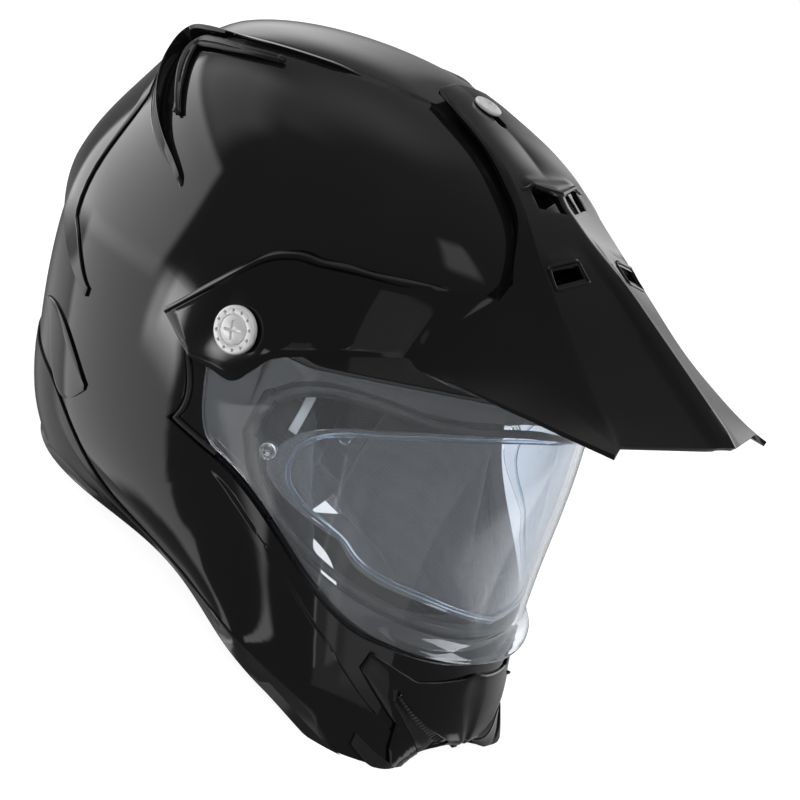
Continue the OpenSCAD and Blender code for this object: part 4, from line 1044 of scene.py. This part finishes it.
knobSide = [(0, 0), (10.4, 0), (10.8, 0.15), (11, 0.6), (11, 2.5), (10.85, 2.95), (10.4, 3.25),
            (9.9, 3.35), (7.5, 3.35), (7.2, 3.3), (7.05, 2.9), (6.85, 2.9), (6.7, 3.35),
            (6.5, 3.7), (6.1, 3.85), (3.85, 4.4), (2, 4.48), (0, 4.5)]
knob = lathe("peakKnobRight", knobSide, 128)
cutters = crossSlot(*knobForm["cross"])
for k in range(knobForm["holes"]):
    a = math.radians(360 / knobForm["holes"] * k + knobForm["holeTurn"])
    spot = (knobForm["holeRing"] * math.cos(a), knobForm["holeRing"] * math.sin(a), 0)
    cutters.append(turned(drum(knobForm["holeRadius"], 1.9, 6, 20), spot, (0, 0, 1)))
carve(knob, cutters)
knob = joined([knob, drum(knobForm["stud"], bossFoot + 1.5 - knobFoot, 0.2)], "peakKnobRight")
rounded(knob, knobForm["soften"], 2, 40)
turned(knob, (-knobFoot, pivot["y"], pivot["z"]), (-1, 0, 0), math.radians(knobForm["turn"]))
finishPair(knob, knobMetal, "peak_knob_right", slot="knob_aluminium", angle=30, body="knob_right")

washerSide = [(3.06, 0), (9.9, 0), (10.2, 0.3), (10.2, 0.6), (10, 0.8), (3.06, 0.8), (3.06, 0)]
washers = [atPivot(lathe("washer", washerSide, 64), side, bossTop + 0.4) for side in (1, -1)]
finish(joined(washers, "knobWashers"), matte, "helmet", "knob_washers", slot="matte_black")

# Crown screw
screwForm = {"rise": 6.8, "stud": 2.5, "studFoot": 1.6, "turn": 20, "cross": (6.6, 1.2, 1.9, 5)}
screwSeat = topZ + screwForm["rise"]
screwSide = [(0, 0), (6.5, 0), (6.85, 0.15), (7, 0.5), (7, 1.4), (6.85, 1.75), (6.3, 2.05),
             (5.0, 2.25), (4.8, 2.15), (4.6, 2.3), (3.5, 2.6), (1.5, 2.78), (0, 2.8)]
screw = lathe("topScrew", screwSide, 96)
carve(screw, crossSlot(*screwForm["cross"]))
stud = drum(screwForm["stud"], topZ + screwForm["studFoot"] - screwSeat, 0.2, 40)
screw = joined([screw, stud], "topScrew")
rounded(screw, knobForm["soften"], 2, 40)
turned(screw, (0, screwY, screwSeat), (0, 0, 1), math.radians(screwForm["turn"]))
finish(screw, screwMetal, "crown_screw", "top_screw", slot="knob_aluminium", angle=30)

# Chin cover: faceted nose piece; its lines run down from the top seam, as bearing and climb
coverForm = {
    "lines": [[[0, 0.204], [0, 0.176], [0, 0.150], [0, 0.122], [0, 0.094], [0, 0.078]],
              [[18, 0.187], [22, 0.168], [16.3, 0.142], [10.6, 0.119], [5, 0.096], [4.5, 0.078]],
              [[26, 0.198], [22, 0.148], [19, 0.128], [14, 0.088], [9, 0.040], [7.5, 0.024]],
              [[31, 0.205], [32, 0.176], [25.5, 0.144], [19.5, 0.112], [19, 0.066], [17, 0.034]]],
    "rise": [[1.6, 2.2, 2.9, 3.4, 3.4, 3.2], [1.5, 2.4, 3.5, 3.9, 3.6, 3.0],
             [1.5, 2.2, 2.5, 2.7, 2.7, 2.6], [1.5, 1.7, 1.9, 2.2, 2.4, 2.4]],
    "gap": 0.2, "crease": 0.8, "rim": 0.8,
}
halfPlaces = np.array([0, 0.1, 0.18, 0.22, 0.4, 0.6, 0.8, 0.92, 1, 1.04, 1.2, 1.4, 1.6, 1.8, 1.96, 2,
                        2.08, 2.2, 2.4, 2.6, 2.8, 2.94, 3])
coverPlaces = np.concatenate([-halfPlaces[:0:-1], halfPlaces])
coverRows = np.array([0, 0.06, 0.25, 0.5, 0.75, 0.94, 1, 1.06, 1.25, 1.5, 1.75, 2, 2.25, 2.5, 2.75,
                      3, 3.25, 3.5, 3.75, 3.94, 4, 4.06, 4.3, 4.6, 4.85, 5])


def acrossLines(lines, place, i):
    lines = np.asarray(lines, float)
    k, n = min(2, int(abs(place))), min(4, int(i))
    one = mix(lines[k][n], lines[k][n + 1], i - n)
    two = mix(lines[k + 1][n], lines[k + 1][n + 1], i - n)
    return mix(one, two, abs(place) - k)


def coverPoint(place, i, sink):
    spot = acrossLines(coverForm["lines"], place, i)
    depth = -coverForm["gap"] - acrossLines(coverForm["rise"], place, i) + sink
    return skin(math.copysign(spot[0], place) if place else 0, spot[1], depth)


def coverGrid(places, rows, sink):
    return np.array([[coverPoint(p, i, sink(p, i)) for p in places] for i in rows])


coverMids = np.abs(coverPlaces[:-1] + coverPlaces[1:]) / 2
rowMids = (coverRows[:-1] + coverRows[1:]) / 2
i, p = np.meshgrid(rowMids[::-1], coverMids, indexing="ij")
slotGone = (i > 1) & (i < 4) & (p > 1) & (p < 2)


def coverFacet(p, i):  # two creases frame the nose's front face, and the rim falls away
    a = abs(p)
    crease = max(0.0, 1 - abs(a - 0.2) / (0.2 if a < 0.2 else 0.5))
    rim = float(ease((a - 2.9) / 0.1) + ease((0.08 - i) / 0.08))
    return coverForm["rim"] * rim - coverForm["crease"] * crease


cover = sheetPiece("chinCover", coverGrid(coverPlaces, coverRows[::-1], coverFacet), 1.5, slotGone)
rounded(cover, 0.35, 2, 30)
finish(cover, gloss, "helmet", "chin_cover", slot="shell_gloss", angle=25)


def scoop(p, i):  # the inserts rise outwards, with ribs across their deep side
    ribs = 0.25 * math.cos(2 * math.pi * i * 7) * (abs(p) < 1.35)
    return mix(2.5, 0.5, ease((abs(p) - 1.3) / 0.6)) + ribs


slotPlaces, slotRows = np.linspace(1.04, 1.96, 17), np.linspace(3.94, 1.06, 60)
inserts = [sheetPiece("insert", coverGrid(places, slotRows, scoop), 0.7)
           for places in (-slotPlaces[::-1], slotPlaces)]
finish(joined(inserts, "chinVentInserts"), satin, "helmet", "chin_vent_inserts",
       slot="matte_black", angle=60)

sliderForm = {"climb": 0.05, "bar": (9, 2.4, 3.4), "barAt": (0, -1.2, 1.9), "nub": (4, 2.4, 3),
              "nubAt": (0, -3.0, 0.7), "soften": 0.4}
tip = skin(0, sliderForm["climb"], -0.5) * (0, 1, 1)
slider = named(block(sliderForm["bar"], tip + sliderForm["barAt"]), "chinVentSlider")
nub = block(sliderForm["nub"], tip + sliderForm["nubAt"])
apply(slider, "BOOLEAN", operation="UNION", object=nub, solver="EXACT")
bpy.data.objects.remove(nub)
rounded(slider, sliderForm["soften"], 3, 30)
finish(slider, satin, "vent_slider", "chin_vent_slider", slot="matte_black")

cornerForm = {"start": 15, "end": 27, "wall": 1.8, "rise": 2.7,
              # climbs of the lower and upper edge, at the front and at the rear end
              "low": (0.0, 0.046), "high": (0.034, 0.07)}
cornerB = np.linspace(cornerForm["start"], cornerForm["end"], 15)
share = (cornerB - cornerForm["start"]) / 12
corner = panel("corner", cornerB, mix(*cornerForm["low"], share), mix(*cornerForm["high"], share),
               0.1 * np.abs(cornerB - 21) - cornerForm["rise"], np.linspace(0, 1, 9),
               cornerForm["wall"])
rounded(corner, 0.4, 3, 40)
finish(both(corner, "chinCornerTrims"), satin, "helmet", "chin_corner_trims", slot="matte_black")
print("chin built")

# Crown fin: a raised lip up the side, round the vent and forward
finForm = {
    "path": [[112, 0.537], [119, 0.549], [127, 0.555], [134, 0.564], [141, 0.580], [149, 0.600],
             [156, 0.622], [152, 0.660], [145, 0.713], [138, 0.770], [131, 0.829], [124, 0.890]],
    "rise": 5.0, "width": 8.5, "gap": 0.8, "ridge": 0.07,
}


def finHeight(t):
    forward = mix(1, finForm["ridge"], ease((t - 6.3) / 2.2))
    return finForm["rise"] * float(ease(t / 4.5) * forward * ease((11.6 - t) / 2))


def onPath(path, t, away, depth):
    p, q, r = along(path, t), along(path, t + 0.05), along(path, t - 0.05)
    run = unit(skin(q[0], q[1], depth) - skin(r[0], r[1], depth))
    return skin(p[0], p[1], depth) + away * np.cross(run, outward(p[0], p[1]))


finShape = [(-1, 0.0), (-0.85, 0.1), (-0.65, 0.3), (-0.42, 0.56), (-0.2, 0.84), (-0.1, 0.96),
            (-0.03, 1.0), (0, 0.93)]
finLoops = []
for t in np.linspace(0, 11, 133):
    high = finHeight(t)
    reach = finForm["width"] * (0.35 + 0.65 * high / finForm["rise"])
    ends = ease(t / 0.7) * ease((11 - t) / 1.2)
    sunk = 1.5 * (1 - ends)
    top, foot = [], []
    for share, level in finShape:
        w = share * reach
        base = 0.0032 * w * w - finForm["gap"]
        top.append(onPath(finForm["path"], t, w, base + 0.45 + sunk
                          - (0.7 + 0.5 * ease((share + 1) / 0.2)) * ends - level * high))
        foot.append(onPath(finForm["path"], t, w, base + 0.6 + sunk))
    finLoops.append(top + foot[::-1])
fin = loftPiece("crownFinRight", finLoops)
rounded(fin, 0.3, 2, 50)
finishPair(fin, gloss, "crown_fin_right", slot="shell_gloss")

# Crown vent: boomerang insert inside the fin's turn, with a slot along each leg
ventForm = {
    "path": [[127.6, 0.588], [136, 0.608], [144, 0.625], [150, 0.642], [145.5, 0.670],
             [138, 0.710], [130.4, 0.763]],
    "width": 8.5, "tip": 1.2, "wall": 1.3, "gap": 0.8,
    # share of the half width and rise of each line across, and where the slots run
    "across": [(-1, 0.3), (-0.86, 1.5), (-0.6, 1.5), (-0.36, 1.0), (-0.13, 0.7), (0.13, 0.7),
               (0.36, 1.0), (0.6, 1.5), (0.86, 1.4), (1, 0.3)],
    "slots": [(0.9, 2.35), (3.0, 5.0)],
    "rivets": [(128.7, 0.59), (131.4, 0.757)],
}
ventT = np.linspace(0, 6, 61)
halfWide = ventForm["tip"] + (ventForm["width"] / 2 - ventForm["tip"]) * np.sin(math.pi * ventT / 6)
ventGrid = np.array([[onPath(ventForm["path"], t, a * w, -ventForm["gap"] - rise)
                      for t, w in zip(ventT, halfWide)] for a, rise in ventForm["across"]])
ventGone = np.zeros((len(ventGrid) - 1, len(ventT) - 1), bool)
for start, end in ventForm["slots"]:
    ventGone[4] |= (ventT[:-1] > start) & (ventT[:-1] < end)
crownVent = sheetPiece("crownVentRight", ventGrid, ventForm["wall"], ventGone)
rounded(crownVent, 0.3, 2, 45)
finishPair(crownVent, satin, "crown_vent_right", slot="matte_black")
rivetSide = [(0, 0), (1.3, 0), (1.3, 2.7), (1.1, 3.1), (0.6, 3.3), (0, 3.35)]
rivets = joined([turned(lathe("rivet", rivetSide, 32), skin(b, c, 0.05), outward(b, c))
                 for b, c in ventForm["rivets"]], "rivets")
finish(both(rivets, "ventRivets"), satin, "helmet", "crown_vent_rivets", slot="matte_black")

# Rear spoiler: a lip across the back whose tips sweep forward
spoilerForm = {"start": 122, "wall": 1.5, "foot": 1.3, "lip": 2.6, "fade": 0.7,
               # climbs of the lower edge at the tips and the middle, and the band's height there
               "low": (0.329, 0.415), "tip": 0.012, "side": 0.023, "middle": 0.15}
spoilerB = np.linspace(spoilerForm["start"], 360 - spoilerForm["start"], 117)
off = np.minimum(spoilerB, 360 - spoilerB)
spoilerLow = mix(*spoilerForm["low"], ease((off - spoilerForm["start"]) / 52))
spoilerTall = (spoilerForm["tip"] + spoilerForm["side"] * ease((off - spoilerForm["start"]) / 12)
               + spoilerForm["middle"] * ease((off - 136) / 9))


def spoilerDepth(v):  # the lip stands out along the lower edge and fades at the upper one
    return (spoilerForm["fade"] * ease((v - 0.9) / 0.1) - spoilerForm["foot"]
            - spoilerForm["lip"] * (1 - v) ** 2 * ease((off - 124) / 38))


spoiler = panel("rearSpoiler", spoilerB, spoilerLow, spoilerLow + spoilerTall, spoilerDepth,
                [0, 0.015, 0.04, *np.linspace(0.08, 1, 24)], spoilerForm["wall"])
rounded(spoiler, 0.4, 3, 45)
finish(spoiler, gloss, "helmet", "rear_spoiler", slot="shell_gloss")

rearForm = {"start": 115, "end": 141, "wall": 0.9, "rise": 1.0, "low": 0.232, "sag": 0.055,
            "lift": 0.018, "high": 0.240, "arch": 0.034}
ventB = np.linspace(rearForm["start"], rearForm["end"], 40)
share = (ventB - rearForm["start"]) / (rearForm["end"] - rearForm["start"])
ventLow = (rearForm["low"] - rearForm["sag"] * np.sin(math.pi * np.minimum(1, 1.25 * share))
           + rearForm["lift"] * share)
ventHigh = rearForm["high"] + rearForm["arch"] * np.sin(np.radians(150) * share)
rearVent = panel("rearVentRight", ventB, ventLow, ventHigh,
                 lambda v: 0.3 * (v > 0.99) - rearForm["rise"] - 0.6 * v, np.linspace(0, 1, 14),
                 rearForm["wall"])
rounded(rearVent, 0.3, 3, 45)
finishPair(rearVent, gloss, "rear_vent_right", slot="matte_black")
print("shell fittings built")

# Foam liner under the dome and foam in the chin bar
linerForm = {"inner": 36.0, "gap": 1.1, "brow": 0.6, "end": 112}


def linerLow(b):
    high = portMid(b) + portHalf(b) + 0.012
    return mix(high, 0.125, ease((np.abs(b) - linerForm["end"] + 6) / 12))


def linerOuter(b, c):
    return (shellForm["wall"] + linerForm["gap"]
            + seatDepth(b) * (1 - ease((np.abs(b) - 97) / 14)) * (1 - ease((c - 0.68) / 0.2)))


def domePiece(name, outer, inner):  # a cap with a wall, from rows of rings going up
    return loftPiece(name, np.concatenate([outer, inner[::-1]]).transpose(1, 0, 2), around=True)


ringB = np.linspace(-180, 180, 145)[:-1]
outer, inner = [], []
for v in np.linspace(0, 1, 44):
    climb = mix(linerLow(ringB), 1.0, v ** 0.9)
    drawnIn = 1.5 * (v == 0)
    outer.append(skin(ringB, climb, linerOuter(ringB, climb) + drawnIn))
    inner.append(skin(ringB, climb, linerForm["inner"] - drawnIn))
liner = domePiece("foamLiner", np.array(outer), np.array(inner))
finish(liner, foam, "helmet", "eps_liner", slot="foam")

foamForm = {"end": 99, "low": 0.075, "depth": 4.6, "thick": 12.5}
foamB = np.linspace(-foamForm["end"], foamForm["end"], 120)
chinFoam = panel("chinFoam", foamB, foamForm["low"], seatLine(foamB) - 0.015, foamForm["depth"],
                 np.linspace(0, 1, 14), foamForm["thick"])
rounded(chinFoam, 1.5, 3, 50)
finish(chinFoam, foam, "helmet", "chin_eps", slot="foam")


# Soft pads
def pillow(u, v):  # 1 over a pad's middle, 0 at its edges
    return math.prod(np.maximum(0, 1 - np.abs(2 * t - 1) ** 4) ** 0.5 for t in (u, v))


def inflated(piece, pressure, cap):
    # swells a closed pad by cloth simulation, each point moving no further than cap (mm)
    apply(piece, "REMESH", mode="VOXEL", voxel_size=0.005)
    before = np.empty(len(piece.data.vertices) * 3)
    piece.data.vertices.foreach_get("co", before)
    picked(piece)
    cloth = piece.modifiers.new("Cloth", "CLOTH")
    cloth.settings.use_pressure = True
    cloth.settings.uniform_pressure_force = pressure
    cloth.settings.effector_weights.gravity = 0
    for frameNumber in range(1, 21):
        scene.frame_set(frameNumber)
    bpy.ops.object.modifier_apply(modifier=cloth.name)
    scene.frame_set(1)
    after = np.empty(len(before))
    piece.data.vertices.foreach_get("co", after)
    move = (after - before).reshape(-1, 3)
    size = np.linalg.norm(move, axis=1, keepdims=True)
    move *= np.minimum(1, cap * 0.001 / np.maximum(size, 1e-9))
    piece.data.vertices.foreach_set("co", (before.reshape(-1, 3) + move).ravel())
    apply(piece, "SMOOTH", factor=0.5, iterations=2)
    apply(piece, "SUBSURF", levels=1, render_levels=1)


cheekForm = {"start": 43, "end": 97, "base": 19.2, "rim": 8.0, "thick": 33.0, "low": 0.067,
             "high": (0.262, 0.47), "lowArch": 0.012, "highArch": 0.01}


def cheekLow(u):
    return cheekForm["low"] + cheekForm["lowArch"] * (1 - (2 * u - 1) ** 2)


def cheekHigh(b, u):
    return (mix(*cheekForm["high"], ease((b - 48) / 22))
            - cheekForm["highArch"] * (1 - (2 * u - 1) ** 2))


cheekB = np.linspace(cheekForm["start"] + 0.7, cheekForm["end"] - 0.7, 28)
u = (cheekB - cheekForm["start"]) / (cheekForm["end"] - cheekForm["start"])
base, face = [], []
for v in np.linspace(0.012, 0.988, 22):
    climb = mix(cheekLow(u), cheekHigh(cheekB, u), v)
    base.append(skin(cheekB, climb, cheekForm["base"] + 1.0))
    face.append(skin(cheekB, climb, cheekForm["base"] + cheekForm["rim"]
                     + (cheekForm["thick"] - cheekForm["rim"]) * pillow(u, v)))
cheek = loftPiece("cheekPadRight", pairLoops(face, base))
inflated(cheek, 3.0, 1.8)
finish(cheek, meshFabric, "helmet", "cheek_pad_right", slot="lining_fabric", angle=70)
cheekLeft = finish(mirrorCopy(cheek, "cheekPadLeft"), meshFabric, "helmet", "cheek_pad_left",
                   slot="lining_fabric", angle=70)

crownForm = {"face": 37.1, "thick": 8.0, "lobes": 6}
outer, inner = [], []
for v in np.linspace(0, 1, 26):
    climb = mix(linerForm["brow"] + 0.004, 1.0, v)
    swell = mix(0.45, 1, (1 - (v - 1) ** 2) ** 0.6)
    lobes = 0.9 + 0.1 * np.cos(np.radians(crownForm["lobes"] * ringB)) * (v < 0.99)
    outer.append(skin(ringB, climb, crownForm["face"] + 0.4))
    inner.append(skin(ringB, climb, crownForm["face"] + crownForm["thick"] * swell * lobes - 1.0))
crownPad = domePiece("crownPad", np.array(outer), np.array(inner))
inflated(crownPad, 2.0, 0.9)
finish(crownPad, liningFabric, "helmet", "crown_pad", slot="lining_fabric", angle=70)

rollForm = {"start": 114, "low": 0.062, "high": 0.112, "base": 5.7, "rim": 8.0, "swell": 14.0}
rollB = np.linspace(rollForm["start"] + 0.8, 360 - rollForm["start"] - 0.8, 60)
u = (rollB - rollForm["start"]) / (360 - 2 * rollForm["start"])
base, face = [], []
for v in np.linspace(0.02, 0.98, 12):
    climb = mix(rollForm["low"], rollForm["high"], v)
    base.append(skin(rollB, climb, rollForm["base"] + 1.0))
    face.append(skin(rollB, climb, rollForm["base"] + rollForm["rim"] - 1
                     + rollForm["swell"] * pillow(u, v)))
roll = loftPiece("neckRoll", pairLoops(face, base))
inflated(roll, 2.5, 1.2)
finish(roll, rollFabric, "helmet", "neck_roll", slot="lining_fabric", angle=70)
print("liner and pads built")

# Chin curtain: a fabric skirt that closes the gap below the jaw
curtainForm = {"end": 94, "low": 0.04, "hem": 6.2, "reach": 80.0, "front": 92.0, "thick": 2.0,
               "flat": (0.2, 0.16), "area": 0.0204}  # the last two in metres
curtainB = np.linspace(-curtainForm["end"], curtainForm["end"], 120)
curtainRows = []
for v in np.linspace(0, 1, 14):
    side = ease((np.abs(curtainB) - 20) / 50)
    reach = mix(curtainForm["front"], curtainForm["reach"], side)
    depth = curtainForm["hem"] + (reach - curtainForm["hem"]) * v
    waves = 0.004 * np.cos(np.radians(curtainB * 9)) * v
    sag = 0.012 * np.sin(math.pi * v) - 0.03 * v * side + waves
    curtainRows.append(skin(curtainB, curtainForm["low"] + 0.012 * v - sag, depth))
curtain = sheetPiece("chinCurtain", np.array(curtainRows)[::-1], curtainForm["thick"])
rounded(curtain, 0.8, 3, 50)
finish(curtain, liningFabric, "helmet", slot="lining_fabric", angle=60)

# Pull tab at the front edge of each cheek pad
tabForm = {"start": 68.6, "end": 70.7, "low": 0.398, "high": 0.459, "depth": 18.2, "thick": 1.6}
tabB = np.linspace(tabForm["start"], tabForm["end"], 5)
tab = panel("tab", tabB, tabForm["low"], tabForm["high"],
            lambda v: tabForm["depth"] + 0.3 * math.sin(math.pi * v), np.linspace(0, 1, 13),
            tabForm["thick"])
rounded(tab, 0.3, 2, 45)
finish(both(tab, "pullTabs"), tabPlastic, "helmet", slot="matte_black")

# Chin strap with its rivets and double D-rings
strapForm = {
    "width": 18.0, "thick": 2.0, "bearing": 106.5, "turn": 0.085, "rivet": 0.175,
    # climb and extra depth down the shell's side, then reach inwards and height (mm)
    "down": [(0.2, 0), (0.165, 0), (0.13, 0), (0.105, 0.6)],
    "inwards": [(6, 20), (12, 14), (19, 9.5), (27, 7)],
    # one side of the webbing's section, as shares of its width and thickness
    "section": [(0.44, 0), (0.48, 0.02), (0.5, 0.3), (0.5, 0.7), (0.48, 0.98), (0.44, 1)],
}
rest = shellForm["wall"] + 1.1 + strapForm["thick"] + 1
turnPoint = skin(strapForm["bearing"], strapForm["turn"], rest + 2.5)
strapSide = unit((skin(strapForm["bearing"] - 1, 0.12) - skin(strapForm["bearing"] + 1, 0.12)) * (1, 1, 0))
strapIn = np.array([-strapSide[1], strapSide[0], 0])
strapPath = ([skin(strapForm["bearing"], c, rest + more) for c, more in strapForm["down"]]
             + [turnPoint]
             + [turnPoint * (1, 1, 0) + reach * strapIn + [0, 0, z] for reach, z in strapForm["inwards"]])
center = along(strapPath, np.linspace(0, len(strapPath) - 1, 65))
run = unit(np.gradient(center, axis=0))
across = unit(strapSide - run * (run @ strapSide)[:, None])
section = [(-s, h) for s, h in strapForm["section"][2::-1]] + strapForm["section"] \
    + [(-s, h) for s, h in strapForm["section"][:2:-1]]
strapLoops = [[c + s * strapForm["width"] * a + h * strapForm["thick"] * n for s, h in section]
              for c, a, n in zip(center, across, np.cross(across, run))]
strap = loftPiece("chinStrapRight", strapLoops)
finishPair(strap, webbing, "chin_strap_right", slot="webbing", angle=50)

rivetNormal = outward(strapForm["bearing"], strapForm["rivet"])
rivetPlace = skin(strapForm["bearing"], strapForm["rivet"], rest) - 2.5 * rivetNormal
rivetSide = [(0, 0), (4, 0), (4, 0.6), (3.7, 1.1), (2.6, 1.5), (0, 1.6)]
strapRivet = turned(lathe("rivet", rivetSide, 48), rivetPlace, -rivetNormal)
finish(both(strapRivet, "strapRivets"), ringSteel, "helmet", "strap_rivets", slot="ring_steel")

ringForm = {"wire": 1.5, "radius": 9.0,
            "rings": [("dRingOuter", "d_ring_outer", -0.8), ("dRingInner", "d_ring_inner", 2.6)]}
ringPlace = strapPath[-1] + (ringForm["wire"] + 0.8) * strapIn
stops = ([(0, s) for s in np.linspace(-ringForm["radius"], ringForm["radius"], 12)]
         + [(ringForm["radius"] * math.sin(a), ringForm["radius"] * math.cos(a))
            for a in np.linspace(0.12, math.pi - 0.12, 30)])
for name, nodeName, lift in ringForm["rings"]:
    path = np.array([ringPlace + a * strapIn + s * strapSide + [0, 0, lift] for a, s in stops])
    up = np.tile([0.0, 0, 1], (len(path), 1))
    ring = loftPiece(name, tubeLoops(path, unit(np.cross(ringRun(path), up)), up, ringForm["wire"], 16),
                     around=True)
    finish(ring, ringSteel, "helmet", nodeName, slot="ring_steel", angle=60)

# Breath deflector and pivot bosses
deflForm = {"end": 32, "low": 0.17, "high": 0.262, "depth": 18.7, "wall": 1.6,
            "ports": [(7, 14), (21, 25)], "portRows": (7, 12)}
deflB = bearings([(deflForm["end"], 1)])
deflTop = deflForm["high"] - 0.012 * (deflB / deflForm["end"]) ** 2
deflShares = np.linspace(0, 1, 20)
mids = np.abs(deflB[:-1] + deflB[1:]) / 2
portCells = np.zeros((len(deflShares) - 1, len(mids)), bool)
for start, end in deflForm["ports"]:
    portCells[slice(*deflForm["portRows"])] |= (mids > start) & (mids < end)
deflector = panel("breathDeflector", deflB, deflForm["low"], deflTop, deflForm["depth"],
                  deflShares, deflForm["wall"], portCells)
rounded(deflector, 0.4, 2, 45)
finish(deflector, matte, "helmet", "breath_deflector", slot="matte_black")
for name in ("pivot_boss_left", "pivot_boss_right", "crown_boss"):
    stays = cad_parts[name]
    if not stays.data.materials:
        stays.data.materials.append(matte)
    stays.material_slots[0].material = matte
print("strap and inner pieces built")

# Camera at the photograph's view
view = {"target": (0, -0.028, 0.116), "distance": 1.5, "lens": 141.75, "sensor": 36,
        "right": (0.52919, -0.65975, 0.53356), "up": (0.02773, 0.64194, 0.76626),
        "back": (-0.84805, -0.39070, 0.35801)}
camera = bpy.data.objects.new("camera", bpy.data.cameras.new("camera"))
scene.collection.objects.link(camera)
target = Vector(view["target"])
turnedTo = Matrix([view[key] for key in ("right", "up", "back")]).transposed().to_4x4()
camera.matrix_world = Matrix.Translation(target + Vector(view["back"]) * view["distance"]) @ turnedTo
camera.data.sensor_width = view["sensor"]
camera.data.lens = view["lens"]
camera.data.clip_end = 60
scene.camera = camera

# Studio: pale floor and surroundings, white behind, soft boxes that only reflections see
studio = {
    "floor": 1.6, "paper": 0.22, "floorGlow": 0.92, "ambient": 0.45, "base": 0.13,
    # azimuth from the back towards the left, elevation, edge softness (degrees), brightness
    "boxes": [
        (-64, 4, -62, -24, 2.2, 0.95), (-64, -44, -34, -25, 2.5, 2.2), (-62, -50, -31, -24, 2, 2.6),
        (-40, 24, -25, 3, 2.5, 1.3), (-30, 20, 3, 40, 9, 0.5), (-20, 60, 40, 62, 12, 0.2),
        (32, 56, -6, 14, 7, 0.8), (4, 40, -60, -26, 10, 0.35), (-200, -135.5, -12, 14, 1.2, 0.2),
        (-147.5, -142, -12, 1, 1.2, 0.4), (-200, -152, -12, 8, 3, 0.2),
        (-136.5, -135.3, -14, 1, 0.4, 1.0), (132, 200, -15, -4, 3, 1.2), (68, 100, 2, 24, 6, 0.9),
        (-112, -86, -27, -19, 2, 1.5), (-178, -160, 43, 60, 3, 0.7), (60, 128, -40, 0, 14, 0.17),
    ],
    # name, place, width and height (metres), watts
    "lamps": [("key", (-1.7, -0.35, 1.0), (0.9, 1.1), 20), ("top", (0.1, 0.5, 2.0), (1.3, 0.9), 26),
              ("rear", (0.25, 1.9, 0.35), (0.6, 1.3), 14), ("fill", (1.2, -1.6, 1.2), (0.9, 0.7), 14)],
}


def softRange(tree, source, low, high, soft):
    sides = []
    for start, end in ((low - soft, low + soft), (high + soft, high - soft)):
        made = node(tree, "ShaderNodeMapRange", interpolation_type="SMOOTHSTEP")
        made.inputs["From Min"].default_value = math.radians(start)
        made.inputs["From Max"].default_value = math.radians(end)
        tree.links.new(source, made.inputs["Value"])
        sides.append(made.outputs["Result"])
    return joinedBy(tree, "MULTIPLY", *sides)


def studioLight(tree, direction):  # brightness that a reflection sees in a direction
    split = tree.nodes.new("ShaderNodeSeparateXYZ")
    tree.links.new(direction, split.inputs[0])
    azimuth = joinedBy(tree, "ARCTAN2", split.outputs["X"], split.outputs["Y"])
    elevation = joinedBy(tree, "ARCSINE", split.outputs["Z"], 0)
    total = studio["base"]
    for start, end, low, high, soft, amount in studio["boxes"]:
        box = joinedBy(tree, "MULTIPLY", softRange(tree, azimuth, start, end, soft),
                       softRange(tree, elevation, low, high, min(soft, (high - low) / 2)))
        total = joinedBy(tree, "ADD", total, joinedBy(tree, "MULTIPLY", box, amount))
    return total


def seenPlain(tree):  # camera and transmission rays see plain white
    path = tree.nodes.new("ShaderNodeLightPath")
    seen = joinedBy(tree, "MAXIMUM", path.outputs["Is Camera Ray"],
                    path.outputs["Is Transmission Ray"])
    shiny = joinedBy(tree, "MULTIPLY", path.outputs["Is Glossy Ray"],
                     joinedBy(tree, "SUBTRACT", 1, seen))
    return seen, shiny


bpy.ops.mesh.primitive_circle_add(vertices=96, radius=studio["floor"], fill_type="NGON")
floor = bpy.context.object
floor.name = "floor"
floorMaterial, tree, shader = shaderFor("floorPaper", (studio["paper"],) * 3, 0.9)
shader.inputs["Specular IOR Level"].default_value = 0.0
seen = seenPlain(tree)[0]
glow = tree.nodes.new("ShaderNodeEmission")
tree.links.new(joinedBy(tree, "MULTIPLY", seen, studio["floorGlow"]), glow.inputs["Strength"])
added = tree.nodes.new("ShaderNodeAddShader")
tree.links.new(shader.outputs["BSDF"], added.inputs[0])
tree.links.new(glow.outputs["Emission"], added.inputs[1])
tree.links.new(added.outputs["Shader"], tree.nodes["Material Output"].inputs["Surface"])
floor.visible_glossy = False  # reflections see the studio light below the horizon too
floor.data.materials.append(floorMaterial)

world = bpy.data.worlds.new("studio")
scene.world = world
world.use_nodes = True
tree = world.node_tree
background = tree.nodes["Background"]
background.inputs["Color"].default_value = (1, 1, 1, 1)
seen, shiny = seenPlain(tree)
coords = tree.nodes.new("ShaderNodeTexCoord")
soft = joinedBy(tree, "MULTIPLY", joinedBy(tree, "SUBTRACT", 1, joinedBy(tree, "ADD", seen, shiny)),
                studio["ambient"])
lit = joinedBy(tree, "MULTIPLY", shiny, studioLight(tree, coords.outputs["Generated"]))
tree.links.new(joinedBy(tree, "ADD", seen, joinedBy(tree, "ADD", soft, lit)),
               background.inputs["Strength"])

for name, place, size, watts in studio["lamps"]:
    light = bpy.data.objects.new(name, bpy.data.lights.new(name, "AREA"))
    scene.collection.objects.link(light)
    light.data.shape = "RECTANGLE"
    light.data.size, light.data.size_y = size
    light.data.energy = watts
    light.visible_glossy = False
    light.location = place
    light.rotation_euler = (target - Vector(place)).to_track_quat("-Z", "Y").to_euler()

scene.view_settings.view_transform = "Standard"
